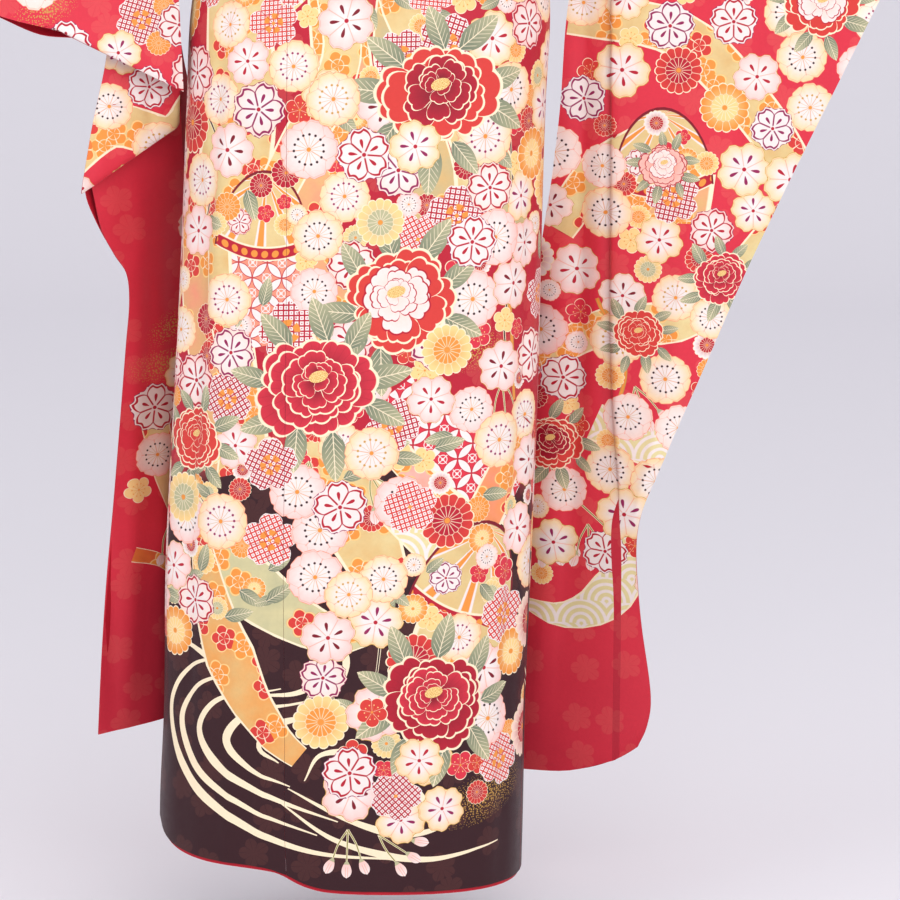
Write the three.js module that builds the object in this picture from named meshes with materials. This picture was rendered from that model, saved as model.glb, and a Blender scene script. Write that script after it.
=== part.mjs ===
// Furisode kimono, worn form: a long-sleeved silk robe wrapped left over right, with its own obi.
// Millimetres, +Z up, front towards -Y, +X is the wearer's left. Origin between the shoulders.
import * as THREE from 'three';

// ---------------------------------------------------------------- driving sizes
const SILK_WALL = 1.8;        // two silks and the tuck between them
const COLLAR_WALL = 3.2;      // collar cloth folded in two
const OBI_WALL = 3.0;
const SEAM_GAP = 0.4;         // clearance between pieces that are sewn together
const WRAP_STEP = 9;          // how far the inner front lies inside the outer one
const OBI_TOP = -256, OBI_BOTTOM = -400;
const TUCK_TOP = -382, TUCK_BOTTOM = -456;   // ohashori, the fold of spare length at the hip
const SKIRT_TOP = -262;       // above this height the panels follow the shoulder rows
const SKIRT_SHARE = 0.8;      // share of a panel's length that lies below SKIRT_TOP
const ROLL_DROP = 4;          // red hem roll below the hem
const OKUMI_POINT = -270;     // height of the tapered top of the okumi

// ---------------------------------------------------------------- tables
/** A table of sections: named columns, first column is the place that is looked up. */
const table = (columns, rows) => ({ columns: columns.split(' '), rows });

/** One row of a table at place x, smoothly between its rows. */
function readTable({ columns, rows }, x) {
  const up = rows[rows.length - 1][0] > rows[0][0] ? 1 : -1;
  let i = 0;
  while (i < rows.length - 2 && up * rows[i + 1][0] < up * x) i += 1;
  const a = rows[i], b = rows[i + 1];
  const p = rows[Math.max(i - 1, 0)], q = rows[Math.min(i + 2, rows.length - 1)];
  const span = b[0] - a[0];
  const t = Math.min(1, Math.max(0, (x - a[0]) / span));
  const out = {};
  columns.forEach((name, c) => {
    const ma = i ? ((b[c] - p[c]) / (b[0] - p[0])) * span : b[c] - a[c];
    const mb = q !== b ? ((q[c] - a[c]) / (q[0] - a[0])) * span : b[c] - a[c];
    out[name] = hermite(a[c], b[c], ma, mb, t);
  });
  return out;
}

function hermite(a, b, ma, mb, t) {
  const t2 = t * t, t3 = t2 * t;
  return (2 * t3 - 3 * t2 + 1) * a + (t3 - 2 * t2 + t) * ma + (3 * t2 - 2 * t3) * b + (t3 - t2) * mb;
}

const mix = (a, b, t) => a + (b - a) * t;
const ease = (a, b, x) => {
  const t = Math.min(1, Math.max(0, (x - a) / (b - a)));
  return t * t * (3 - 2 * t);
};

// Outside of the wrapped skirt and waist, a rounded section at each height.
const BODY = table('z mid half front back square', [
  [-1375, -44, 188, 134, 128, 2.8],
  [-1295, -44, 190, 134, 128, 2.8],
  [-1183, -40, 188, 133, 127, 2.8],
  [-1030, -35, 189, 132, 127, 2.8],
  [-870, -27, 187, 131, 127, 2.8],
  [-730, -21, 184, 130, 127, 2.8],
  [-570, -15, 182, 129, 126, 2.8],
  [-470, -10, 181, 127, 125, 2.7],
  [-415, -7, 170, 120, 118, 2.5],
  [-370, -4, 161, 116, 112, 2.4],
  [-245, 0, 160, 115, 110, 2.4],
  [-200, 0, 160, 115, 108, 2.4],
]);

// Where the long seams run, in turns round the section: 0 is front middle, 0.5 back middle.
const SEAMS = table('z outer_edge okumi_seam left_side right_side inner_seam inner_edge', [
  [-1375, -0.212, -0.047, 0.212, 0.788, 1.045, 1.185],
  [-1183, -0.216, -0.053, 0.210, 0.790, 1.050, 1.190],
  [-870, -0.222, -0.063, 0.210, 0.790, 1.055, 1.195],
  [-560, -0.228, -0.073, 0.215, 0.785, 1.065, 1.205],
  [-456, -0.230, -0.077, 0.222, 0.778, 1.075, 1.210],
  [-393, -0.205, -0.082, 0.235, 0.765, 1.085, 1.200],
  [-330, -0.150, -0.086, 0.245, 0.755, 1.090, 1.150],
  [-270, -0.094, -0.090, 0.250, 0.750, 1.090, 1.094],
  [-245, -0.074, -0.074, 0.250, 0.750, 1.074, 1.074],
  [-200, -0.040, -0.040, 0.250, 0.750, 1.040, 1.040],
]);

// Height of the hem round the wrap.
const HEM = table('turn z', [
  [-0.235, -1290], [-0.212, -1299], [-0.185, -1314], [-0.14, -1324], [-0.06, -1332],
  [-0.035, -1345], [-0.012, -1352], [0.04, -1355], [0.21, -1357], [0.5, -1354], [0.62, -1342],
  [0.7, -1318], [0.77, -1292], [0.85, -1305], [1.045, -1326], [1.2, -1290],
]);

// Panel rows above SKIRT_TOP for the wearer's left, from the waist over the shoulder. Four points a
// row: neck edge, two between, side or armhole edge.
const FRONT_ROWS = [
  [[-34, -116, -205], [45, -116, -205], [116, -90, -211], [168, -16, -234]],
  [[4, -114, -150], [78, -106, -152], [150, -74, -178], [226, -12, -305]],
  [[42, -88, -85], [100, -80, -90], [170, -60, -118], [238, -38, -262]],
  [[62, -50, -35], [120, -52, -50], [185, -52, -86], [252, -52, -190]],
  [[70, -22, -10], [134, -26, -33], [198, -36, -64], [263, -45, -130]],
  [[72, -8, -4], [136, -9, -26], [200, -14, -57], [267, -26, -104]],
];
const CREST_ROW = [[72, 0, -2], [136, 0, -25], [200, 0, -55], [268, 0, -96]];
const BACK_ROWS = [
  [[68, 14, -3], [136, 9, -26], [200, 14, -57], [267, 26, -104]],
  [[58, 34, -6], [134, 27, -33], [198, 38, -64], [263, 45, -130]],
  [[28, 58, -20], [116, 58, -50], [185, 56, -88], [252, 52, -190]],
  [[1, 72, -48], [95, 80, -95], [168, 70, -126], [238, 38, -262]],
  [[1, 94, -120], [78, 101, -150], [150, 82, -185], [226, 12, -305]],
  [[1, 107, -200], [60, 108, -205], [118, 86, -213], [168, 16, -234]],
];

// ---------------------------------------------------------------- the wrap
const ringCache = new Map();
/** Points and lengths round the section at height z. */
function ring(z) {
  const key = Math.round(z * 20);
  if (ringCache.has(key)) return ringCache.get(key);
  const s = readTable(BODY, z);
  const power = 2 / s.square, steps = 360, points = [], lengths = [0];
  for (let i = 0; i <= steps; i += 1) {
    const a = (2 * Math.PI * i) / steps;
    const sx = Math.sin(a), cy = Math.cos(a);
    points.push([
      s.mid + s.half * Math.sign(sx) * Math.abs(sx) ** power,
      -Math.sign(cy) * (cy > 0 ? s.front : s.back) * Math.abs(cy) ** power,
    ]);
    if (i) lengths.push(lengths[i - 1] + Math.hypot(points[i][0] - points[i - 1][0], points[i][1] - points[i - 1][1]));
  }
  const made = { points, lengths, round: lengths[steps], steps };
  ringCache.set(key, made);
  return made;
}

/** A point at a turn round the section at height z, moved in by depth. */
function wrapPoint(turn, z, depth) {
  const { points, lengths, round, steps } = ring(z);
  const want = (turn - Math.floor(turn)) * round;
  let lo = 0, hi = steps;
  while (hi - lo > 1) {
    const m = (lo + hi) >> 1;
    if (lengths[m] <= want) lo = m; else hi = m;
  }
  const t = (want - lengths[lo]) / (lengths[hi] - lengths[lo]);
  const at = (k) => points[(k + steps) % steps];
  const x = mix(points[lo][0], points[hi][0], t), y = mix(points[lo][1], points[hi][1], t);
  const tx = at(lo + 4)[0] - at(lo - 3)[0], ty = at(lo + 4)[1] - at(lo - 3)[1];
  const n = Math.hypot(tx, ty);
  return [x - (ty / n) * depth, y + (tx / n) * depth, z];
}

/** How far a turn of the wrap lies inside the outline: the outer front 1 mm, the inner one WRAP_STEP more. */
const wrapDepth = (turn) => 1 + WRAP_STEP * ease(0.2, 0.76, turn);

/** Smooth curve through four points. */
function alongRow(row, u) {
  const s = Math.min(2.9999, Math.max(0, u * 3)), i = Math.floor(s), t = s - i;
  const a = row[i], b = row[i + 1], p = row[Math.max(0, i - 1)], q = row[Math.min(3, i + 2)];
  return a.map((_, c) => hermite(a[c], b[c], i ? (b[c] - p[c]) / 2 : b[c] - a[c], i < 2 ? (q[c] - a[c]) / 2 : b[c] - a[c], t));
}

const flip = (row) => row.map(([x, y, z]) => [-x, y, z]);

/** One half of the robe's body (front or back of one side): u from the neck or middle edge to the side. */
function bodyHalf(side, part) {
  const front = part === 'front', left = side === 'left';
  const inner = { front: left ? 'okumi_seam' : 'inner_seam', back: null }[part];
  const outer = left ? 'left_side' : 'right_side';
  const turnAt = (u, z) => {
    const s = readTable(SEAMS, z);
    return mix(inner ? s[inner] : 0.5, s[outer], u);
  };
  // The inner front crosses under the outer one, so its neck edge lies further in.
  const inset = front && !left ? [9, 6, 1, 0, 0, 0] : [0, 0, 0, 0, 0, 0];
  const rows = (front ? FRONT_ROWS : [...BACK_ROWS].reverse()).map((row, k) => {
    const moved = row.map(([x, y, z], c) => [x, y + (c < 2 ? inset[k] : 0), z]);
    return left ? moved : flip(moved);
  });
  rows.push(left ? CREST_ROW : flip(CREST_ROW));
  const low = [SKIRT_TOP - 45, SKIRT_TOP].map((z) => [0, 1 / 3, 2 / 3, 1].map((u) => {
    const turn = turnAt(u, z);
    return wrapPoint(turn, z, wrapDepth(turn));
  }));
  const all = [...low, ...rows];
  return (u, h) => {
    if (h < SKIRT_SHARE) {
      const k = h / SKIRT_SHARE;
      const near = turnAt(u, -1340);
      const z = mix(readTable(HEM, near).z, SKIRT_TOP, k);
      const turn = turnAt(u, z);
      return wrapPoint(turn, z, wrapDepth(turn));
    }
    const s = 1 + ((h - SKIRT_SHARE) / (1 - SKIRT_SHARE)) * (all.length - 2);
    const i = Math.min(all.length - 2, Math.floor(s)), t = s - i;
    const a = alongRow(all[i], u), b = alongRow(all[i + 1], u);
    const p = alongRow(all[i - 1], u), q = alongRow(all[Math.min(all.length - 1, i + 2)], u);
    const end = i === all.length - 2;
    const point = a.map((_, c) => hermite(a[c], b[c], (b[c] - p[c]) / 2, end ? b[c] - a[c] : (q[c] - a[c]) / 2, t));
    if (!front && i < 4) point[0] = left ? Math.max(0.9, point[0]) : Math.min(-0.9, point[0]);
    return point;
  };
}

/** The okumi, the narrow panel on a front edge: u from its seam to its free edge. */
function okumi(side) {
  const [seam, edge] = side === 'left' ? ['okumi_seam', 'outer_edge'] : ['inner_seam', 'inner_edge'];
  return (u, h) => {
    const turnAt = (z) => {
      const s = readTable(SEAMS, z);
      return mix(s[seam], s[edge], u);
    };
    const z = mix(readTable(HEM, turnAt(-1340)).z, OKUMI_POINT, h);
    const turn = turnAt(z);
    return wrapPoint(turn, z, wrapDepth(turn));
  };
}

// ---------------------------------------------------------------- the sleeves
// Rows from the top fold over the arm down to the bottom of the bag. out_ is the wrist side, in_ the
// side next to the body, gap the half distance between front and back cloth there. fold is how much
// the front cloth overlaps at its standing pleat, share how far that pleat has formed.
const LEFT_SLEEVE = table('row out_x out_y out_z out_gap in_x in_y in_z in_gap fold share', [
  [0, 562, -40, -270, 0, 269, 0, -96, 0, -9, 0],
  [1, 560, -40, -277, 18, 268, 0, -104, 26, -9, 0],
  [2, 555, -40, -303, 33, 264, 0, -130, 45, -9, 0],
  [3, 541, -38, -350, 38, 254, 0, -190, 52, -9, 0],
  [4, 519, -34, -412, 27, 240, 0, -262, 38, -9, 0.3],
  [5, 500, -30, -459, 8, 228.5, 0, -305, 12, -6, 1],
  [6, 468, -24, -529, 1.5, 206, 6, -385, 8, 8, 1],
  [7, 425, -15, -620, 1.5, 188, 18, -475, 7, 16, 1],
  [8, 372, -3, -737, 1.5, 180, 30, -590, 6, 28, 1],
  [9, 330, 7, -840, 1.5, 162, 62, -715, 6, 42, 1],
  [10, 290, 18, -938, 1.5, 120, 100, -830, 5, 28, 1],
  [11, 265, 30, -1012, 1.5, 84, 120, -935, 5, -9, 0.05],
  [12, 268, 35, -1098, 1.5, 54, 134, -1040, 5, -9, 0],
  [13, 280, 35, -1186, 1.5, 34, 142, -1150, 4, -9, 0],
  [14, 277, 35, -1222, 1.5, 26, 145, -1207, 3, -9, 0],
  [15, 267, 36, -1246, 1.7, 20, 146, -1250, 2.8, -9, 0],
]);
const PLEAT_LINE = table('z x', [[-250, 240], [-465, 234], [-667, 236], [-811, 238], [-916, 245], [-1000, 250], [-1300, 250]]);
const PLEAT_STEP = 5;         // depth between the layers of the standing pleat
const BOTTOM_SAG = 35;        // the bag's bottom hangs lower in its middle
const BODY_CLEAR = 7;         // clearance of the hanging sleeves from the robe

// The other sleeve's front cloth droops over itself twice below the bent arm: drop rows go down, the
// return rows go back up behind them. step is how far the cloth stands forward.
const RIGHT_SLEEVE_FRONT = table('row out_x out_y out_z out_gap in_x in_y in_z in_gap step', [
  [0, -562, -60, -292, 0, -269, 0, -96, 0, 0],
  [1, -560, -60, -299, 18, -268, 0, -104, 26, 0],
  [2, -553, -60, -324, 33, -264, 0, -130, 45, 0],
  [3, -530, -60, -368, 38, -254, 0, -190, 52, 0],
  [4, -480, -60, -420, 32, -240, 0, -262, 38, 2],
  [5, -425, -61, -458, 14, -228.5, 0, -305, 12, 8],
  [6, -372, -63, -481, 6, -217, -34, -420, 9, 15],
  [7, -318, -62, -494, 4, -213, -53, -545, 4, 16],
  [8, -312, -61, -495, 4, -212, -46, -547, 4, 12],
  [9, -290, -54, -478, 4, -207, -30, -520, 4, 6],
  [9.4, -288, -49, -478, 3, -206, -25, -520, 4, 3],
  [10, -272, -46, -506, 1.5, -206, -20, -535, 4, 3],
  [11, -288, -46, -590, 1.5, -207, -15, -560, 4, 8],
  [12, -299, -44, -650, 1.5, -209, -8, -583, 4, 10],
  [13, -299, -41, -655, 1.5, -208, -2, -586, 4, 6.5],
  [14, -296, -37, -640, 1.5, -205, 7, -565, 4, 3],
  [14.4, -294, -32, -641, 1.5, -205, 13, -566, 4, 1],
  [15, -282, -16, -703, 1.5, -206, 60, -640, 5, 1],
  [16, -261, 0, -745, 2.4, -197, 98, -715, 5, 0],
  [17, -264, 0, -820, 2.2, -165, 130, -820, 5, 0],
  [18, -281, 0, -1010, 1.5, -120, 146, -1000, 5, 0],
  [19, -292, 0, -1130, 1.5, -100, 150, -1110, 4, 0],
  [20, -297, 0, -1205, 1.5, -92, 152, -1185, 3, 0],
  [21, -298, 0, -1224, 1.7, -90, 152, -1205, 2.6, 0],
]);
const RIGHT_SLEEVE_BACK = table('row out_x out_y out_z out_gap in_x in_y in_z in_gap step', [
  [0, -562, -60, -292, 0, -269, 0, -96, 0, 0],
  [1, -560, -60, -299, 18, -268, 0, -104, 26, 0],
  [2, -553, -60, -324, 33, -264, 0, -130, 45, 0],
  [3, -530, -60, -368, 38, -254, 0, -190, 52, 0],
  [4, -480, -60, -420, 32, -240, 0, -262, 38, 0],
  [5, -425, -60, -458, 14, -228.5, 0, -305, 12, 0],
  [6, -340, -58, -478, 4, -212, 10, -390, 9, 0],
  [7, -272, -48, -507, 1.5, -206, 30, -470, 6, 0],
  [8, -288, -38, -590, 1.5, -200, 70, -555, 5, 0],
  [9, -299, -32, -652, 1.5, -198, 90, -620, 5, 0],
  [10, -282, -12, -704, 1.5, -194, 105, -670, 5, 0],
  [11, -261, 0, -746, 2.4, -188, 118, -725, 5, 0],
  [12, -264, 0, -820, 2.2, -165, 134, -820, 5, 0],
  [13, -281, 0, -1010, 1.5, -120, 148, -1000, 5, 0],
  [14, -292, 0, -1130, 1.5, -100, 150, -1110, 4, 0],
  [15, -297, 0, -1205, 1.5, -92, 152, -1185, 3, 0],
  [16, -298, 0, -1224, 1.7, -90, 152, -1205, 2.6, 0],
]);

/** Moves a point out of the robe's section, so that a hanging sleeve stays clear of the body. */
function clearOfBody([x, y, z], margin) {
  if (z > -400) return [x, y, z];
  const s = readTable(BODY, z), dx = x - s.mid;
  const half = s.half + margin, depth = (y > 0 ? s.back : s.front) + margin;
  const f = ((Math.abs(dx) / half) ** s.square + (Math.abs(y) / depth) ** s.square) ** (1 / s.square);
  if (f >= 1 || f < 1e-6) return [x, y, z];
  return [s.mid + dx / f, y / f, z];
}

/** Share across the sleeve (0 at the body, 1 at the wrist side) with the columns of the pleat. */
const PLEAT_COLUMNS = [0, 0.16, 0.33, 'root', 'turn', 'back', 'edge', 0.25, 0.5, 0.75, 1];

/** The wearer's left sleeve: a point of the front (-1) or back (+1) cloth. */
function leftSleevePoint(face, column, row) {
  const r = readTable(LEFT_SLEEVE, row);
  const at = (t, forward) => {
    const x = mix(r.in_x, r.out_x, t), y = mix(r.in_y, r.out_y, t);
    const sag = BOTTOM_SAG * (1 - Math.abs(2 * t - 1) ** 3) * ease(10, 15, row);
    const swell = Math.sin(Math.PI * t) * 3 * ease(5, 8, row) * (1 - ease(13.5, 15, row));
    const gap = mix(r.in_gap, r.out_gap, t ** 3) + swell;
    const p = [x, y + face * gap - forward, mix(r.in_z, r.out_z, t) - sag];
    return clearOfBody(p, BODY_CLEAR + (face > 0 ? 2 * gap : 0));
  };
  if (face > 0) return at(column, 0);
  const z = mix(r.in_z, r.out_z, 0.3);
  const line = readTable(PLEAT_LINE, z).x;
  const edge = Math.min(0.94, Math.max(0.12, (line - r.in_x) / (r.out_x - r.in_x)));
  const perMm = 1 / Math.abs(r.out_x - r.in_x), k = r.share;
  const over = Math.min((1 - edge) * 0.68, r.fold * perMm), flat = ease(2, -9, r.fold);
  const spots = {
    root: [edge + over, 0],
    turn: [edge + over + 3 * perMm * flat, PLEAT_STEP * k],
    back: [edge - 3 * perMm * flat, PLEAT_STEP * k],
    edge: [edge, 2 * PLEAT_STEP * k],
  };
  if (typeof column === 'string') return at(...spots[column]);
  return column;
}

/** Row of front-cloth points across the left sleeve. */
function leftSleeveFrontRow(row) {
  const spot = (name) => leftSleevePoint(-1, name, row);
  const r = readTable(LEFT_SLEEVE, row);
  const across = (p) => (p[0] - r.in_x) / (r.out_x - r.in_x);
  const root = spot('root'), edge = spot('edge');
  const points = [];
  const plain = (t, forward) => {
    const x = mix(r.in_x, r.out_x, t), y = mix(r.in_y, r.out_y, t);
    const sag = BOTTOM_SAG * (1 - Math.abs(2 * t - 1) ** 3) * ease(10, 15, row);
    const swell = Math.sin(Math.PI * t) * 3 * ease(5, 8, row) * (1 - ease(13.5, 15, row));
    const gap = mix(r.in_gap, r.out_gap, t ** 3) + swell;
    return clearOfBody([x, y - gap - forward, mix(r.in_z, r.out_z, t) - sag], BODY_CLEAR);
  };
  const tRoot = Math.max(0.03, across(root)), tEdge = across(edge);
  for (const s of [0, 0.34, 0.68]) points.push(plain(s * tRoot, 0));
  points.push(root, spot('turn'), spot('back'), edge);
  for (const s of [0.35, 0.74, 0.88, 1]) points.push(plain(mix(tEdge, 1, s), 2 * PLEAT_STEP * r.share * (1 - ease(0.74, 1, s))));
  return points;
}

function sleeveBackRow(sectionTable, row) {
  const r = readTable(sectionTable, row);
  return PLEAT_COLUMNS.map((_, k) => {
    const t = k / (PLEAT_COLUMNS.length - 1);
    const last = sectionTable.rows.length - 1;
    const sag = sectionTable === LEFT_SLEEVE ? BOTTOM_SAG * (1 - Math.abs(2 * t - 1) ** 3) * ease(10, 15, row) : 0;
    const swell = Math.sin(Math.PI * t) * 3 * ease(5, 8, row) * (1 - ease(last - 1.5, last, row));
    const gap = mix(r.in_gap, r.out_gap, t ** 3) + swell;
    const p = [mix(r.in_x, r.out_x, t), mix(r.in_y, r.out_y, t) + gap, mix(r.in_z, r.out_z, t) - sag];
    return clearOfBody(p, BODY_CLEAR + 2 * gap + 1);
  });
}

function rightSleeveFrontRow(row) {
  const r = readTable(RIGHT_SLEEVE_FRONT, row);
  return PLEAT_COLUMNS.map((_, k) => {
    const t = k / (PLEAT_COLUMNS.length - 1);
    const gap = mix(r.in_gap, r.out_gap, t ** 3);
    const p = [mix(r.in_x, r.out_x, t), mix(r.in_y, r.out_y, t) - gap - r.step * Math.sin(Math.PI * mix(0.12 * ease(5, 6, row), 0.62, t)),
      mix(r.in_z, r.out_z, t)];
    return clearOfBody(p, BODY_CLEAR);
  });
}

// ---------------------------------------------------------------- collar
// The collar follows the neck edge of the robe: place 0 is the left front at the obi, 14 the nape's
// left, 18 the middle of the nape, then the same on the right. stand is how far it turns up there.
const COLLAR_WIDE = 54;
const COLLAR_STAND = table('place stand back', [
  [1, 0, 0], [4, 0.1, 0], [6, 0.45, 0], [8, 0.8, 0.05], [10, 0.95, 0.25], [12, 1, 0.34],
]);

/** A point of the collar: u over its width, place from 1 (waist) over 8 (shoulder) to 12 (nape middle). */
function collarPoint(side, u, place) {
  const front = place <= 8;
  const edge = bodyHalf(side, front ? 'front' : 'back');
  const level = (k) => SKIRT_SHARE + ((1 - SKIRT_SHARE) * (Math.max(1, Math.min(8, k)) - 1)) / 7;
  const k = front ? place : 16 - place, e = 0.05;
  const p = new THREE.Vector3(...edge(0, level(k)));
  const along = new THREE.Vector3(...edge(0, level(k + e))).sub(new THREE.Vector3(...edge(0, level(k - e)))).normalize();
  const out = p.clone().sub(new THREE.Vector3(...edge(0.12, level(k))));
  out.addScaledVector(along, -out.dot(along)).normalize();
  const { stand, back } = readTable(COLLAR_STAND, place);
  const up = new THREE.Vector3(0, back, 1).normalize();
  out.multiplyScalar(1 - stand).addScaledVector(up, stand).normalize();
  const w = SEAM_GAP + 1.2 + COLLAR_WIDE * u;
  p.addScaledVector(out, w);
  if (side === 'right') p.y += 13 * u ** 1.4 * (1 - ease(3.8, 5.6, place));
  return p.toArray();
}

function collarRows() {
  const places = [...steps(12, 1, 7), ...steps(9, 7.5, 12)];
  const across = [0, 0.33, 0.67, 1];
  const rows = places.map((k) => across.map((u) => collarPoint('left', u, k)));
  [...places].reverse().slice(1).filter((k) => k >= 1.5).forEach((k) => rows.push(across.map((u) => collarPoint('right', u, k))));
  return rows;
}

// ---------------------------------------------------------------- solids
/** Rows of mid-wall points made into a closed wall of the given thickness. */
function wall(rows, thickness, { ring: closed = false } = {}) {
  const count = rows[0].length, V = (p) => new THREE.Vector3(...p);
  const grid = rows.map((row) => row.map(V));
  // Each tangent is the mean direction of the two steps at the point, so that folds turn evenly.
  const tangent = (before, here, after) => {
    const t = new THREE.Vector3();
    if (before) t.add(here.clone().sub(before).normalize());
    if (after) t.add(after.clone().sub(here).normalize());
    return t;
  };
  const last = rows.length - 1;
  const normal = (i, j) => {
    const here = grid[i][j];
    const before = closed ? grid[i][(j - 1 + count) % count] : grid[i][j - 1];
    const after = closed ? grid[i][(j + 1) % count] : grid[i][j + 1];
    const down = tangent(i ? grid[i - 1][j] : null, here, i < last ? grid[i + 1][j] : null);
    return down.cross(tangent(before, here, after)).normalize();
  };
  const positions = [];
  for (const s of [0.5, -0.5]) {
    grid.forEach((row, i) => row.forEach((p, j) => {
      positions.push(...p.clone().addScaledVector(normal(i, j), s * thickness).toArray());
    }));
  }
  const n = rows.length * count, id = (i, j, side) => side * n + i * count + (j % count);
  const faces = [];
  const quad = (a, b, c, d) => faces.push(a, b, c, a, c, d);
  const across = closed ? count : count - 1;
  for (let i = 0; i < rows.length - 1; i += 1) {
    for (let j = 0; j < across; j += 1) {
      quad(id(i, j, 0), id(i + 1, j, 0), id(i + 1, j + 1, 0), id(i, j + 1, 0));
      quad(id(i, j, 1), id(i, j + 1, 1), id(i + 1, j + 1, 1), id(i + 1, j, 1));
    }
  }
  for (let j = 0; j < across; j += 1) {
    quad(id(0, j, 0), id(0, j + 1, 0), id(0, j + 1, 1), id(0, j, 1));
    const e = rows.length - 1;
    quad(id(e, j, 0), id(e, j, 1), id(e, j + 1, 1), id(e, j + 1, 0));
  }
  if (!closed) {
    for (let i = 0; i < rows.length - 1; i += 1) {
      quad(id(i, 0, 0), id(i, 0, 1), id(i + 1, 0, 1), id(i + 1, 0, 0));
      const e = count - 1;
      quad(id(i, e, 0), id(i + 1, e, 0), id(i + 1, e, 1), id(i, e, 1));
    }
  }
  const geometry = new THREE.BufferGeometry();
  geometry.setAttribute('position', new THREE.Float32BufferAttribute(positions, 3));
  geometry.setIndex(faces);
  if (volume(geometry) < 0) {
    for (let k = 0; k < faces.length; k += 3) [faces[k + 1], faces[k + 2]] = [faces[k + 2], faces[k + 1]];
    geometry.setIndex(faces);
  }
  geometry.computeVertexNormals();
  return geometry;
}

function volume(geometry) {
  const p = geometry.attributes.position, k = geometry.index;
  const a = new THREE.Vector3(), b = new THREE.Vector3(), c = new THREE.Vector3();
  let sum = 0;
  for (let i = 0; i < k.count; i += 3) {
    a.fromBufferAttribute(p, k.getX(i));
    b.fromBufferAttribute(p, k.getX(i + 1));
    c.fromBufferAttribute(p, k.getX(i + 2));
    sum += a.dot(b.cross(c)) / 6;
  }
  return sum;
}

const steps = (count, from = 0, to = 1) => Array.from({ length: count + 1 }, (_, i) => mix(from, to, i / count));

/** Body of one side: one long cloth from the front hem over the shoulder to the back hem. */
function bodyRows(side) {
  const front = bodyHalf(side, 'front'), back = bodyHalf(side, 'back');
  const across = steps(11).map((u) => Math.min(1 - 0.0014, Math.max(0.0014, u)));
  const levels = [0, 0.06, 0.12, 0.18, 0.25, 0.32, 0.39, 0.46, 0.53, 0.6, 0.655, 0.678, 0.7, 0.722, 0.76,
    ...steps(14, SKIRT_SHARE, 1)];
  const rows = levels.map((h) => across.map((u) => front(u, h)));
  [...levels].reverse().slice(1).forEach((h) => rows.push(across.map((u) => back(u, h))));
  return rows;
}

function okumiRows(side) {
  const at = okumi(side);
  const across = steps(6).map((u) => Math.max(0.004, u));
  const levels = [0, 0.07, 0.15, 0.23, 0.31, 0.39, 0.47, 0.55, 0.63, 0.71, 0.77, 0.828, 0.853, 0.88, 0.906, 0.95, 1];
  return levels.map((h) => across.map((u) => at(u, h)));
}

function leftSleeveRows() {
  const levels = [15, 14.5, 14, 13.4, 12.7, 12, 11.5, 11, 10.5, 10, 9.5, 9, 8.5, 8, 7.5, 7, 6.5, 6, 5.5, 5, 4.5, 4, 3.5, 3, 2.5,
    2, 1.5, 1, 0.5];
  const rows = levels.map(leftSleeveFrontRow);
  rows.push(sleeveBackRow(LEFT_SLEEVE, 0));
  [...levels].reverse().forEach((k) => rows.push(sleeveBackRow(LEFT_SLEEVE, k)));
  return rows;
}

function rightSleeveRows() {
  const front = [21, 20.5, 20, 19.5, 19, 18.5, 18, 17.5, 17, 16.5, 16, 15.5, 15, 14.4, 14, 13, 12, 11.5, 11, 10,
    9.4, 9, 8, 7, 6, 5.5, 5, 4.5, 4, 3.5, 3, 2.5, 2, 1.5, 1, 0.5];
  const back = [0, 0.5, 1, 1.5, 2, 2.5, 3, 3.5, 4, 4.5, 5, 5.5, 6, 6.5, 7, 7.5, 8, 8.5, 9, 9.5, 10, 10.5, 11, 11.5, 12,
    12.5, 13, 13.5, 14, 14.5, 15, 15.5, 16];
  return [...front.map(rightSleeveFrontRow), ...back.map((k) => sleeveBackRow(RIGHT_SLEEVE_BACK, k))];
}

/** Spare length folded up at the hip: a double cloth with a round lower edge. */
function tuckRows() {
  const outerTop = OBI_BOTTOM - 0.8;
  const path = [[-2.3, TUCK_TOP], [-2.1, outerTop], [-2, -430], [-2, TUCK_BOTTOM + 3], [-4.2, TUCK_BOTTOM],
    [-6.4, TUCK_BOTTOM + 3], [-6.4, -430], [-6.4, outerTop]];
  return path.map(([depth, z]) => steps(58, -0.226, 0.768).map((turn) => wrapPoint(turn, z, depth)));
}

function obiRows() {
  return steps(4, OBI_BOTTOM, OBI_TOP).map((z) => steps(47, 0, 47 / 48).map((turn) => wrapPoint(turn, z, -9.3)));
}

// Side outline of the drum bow, from the top of the obi out, down and folded up again.
const DRUM = [[123.5, -300], [123.5, -262], [132, -240], [158, -227], [192, -238], [214, -275], [219, -335], [214, -400], [205, -455], [196, -472],
  [184, -474], [172, -462], [168, -430], [166, -380], [164, -340]];
const DRUM_HALF = 150;

function drumRows() {
  return DRUM.map(([y, z]) => steps(6, -DRUM_HALF, DRUM_HALF).map((x) => [x, y - 8 * Math.abs(x / DRUM_HALF) ** 3, z]));
}

/** The red roll of the lining under the hem, all along the wrap. */
function hemRollRows() {
  const turns = steps(66, -0.208, 1.18);
  return [[3.2, -2.5], [2.7, ROLL_DROP]].map(([depth, down]) => turns.map((turn) => {
    const z = readTable(HEM, turn).z - down;
    return wrapPoint(turn, z, wrapDepth(turn) + depth);
  }));
}

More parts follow.
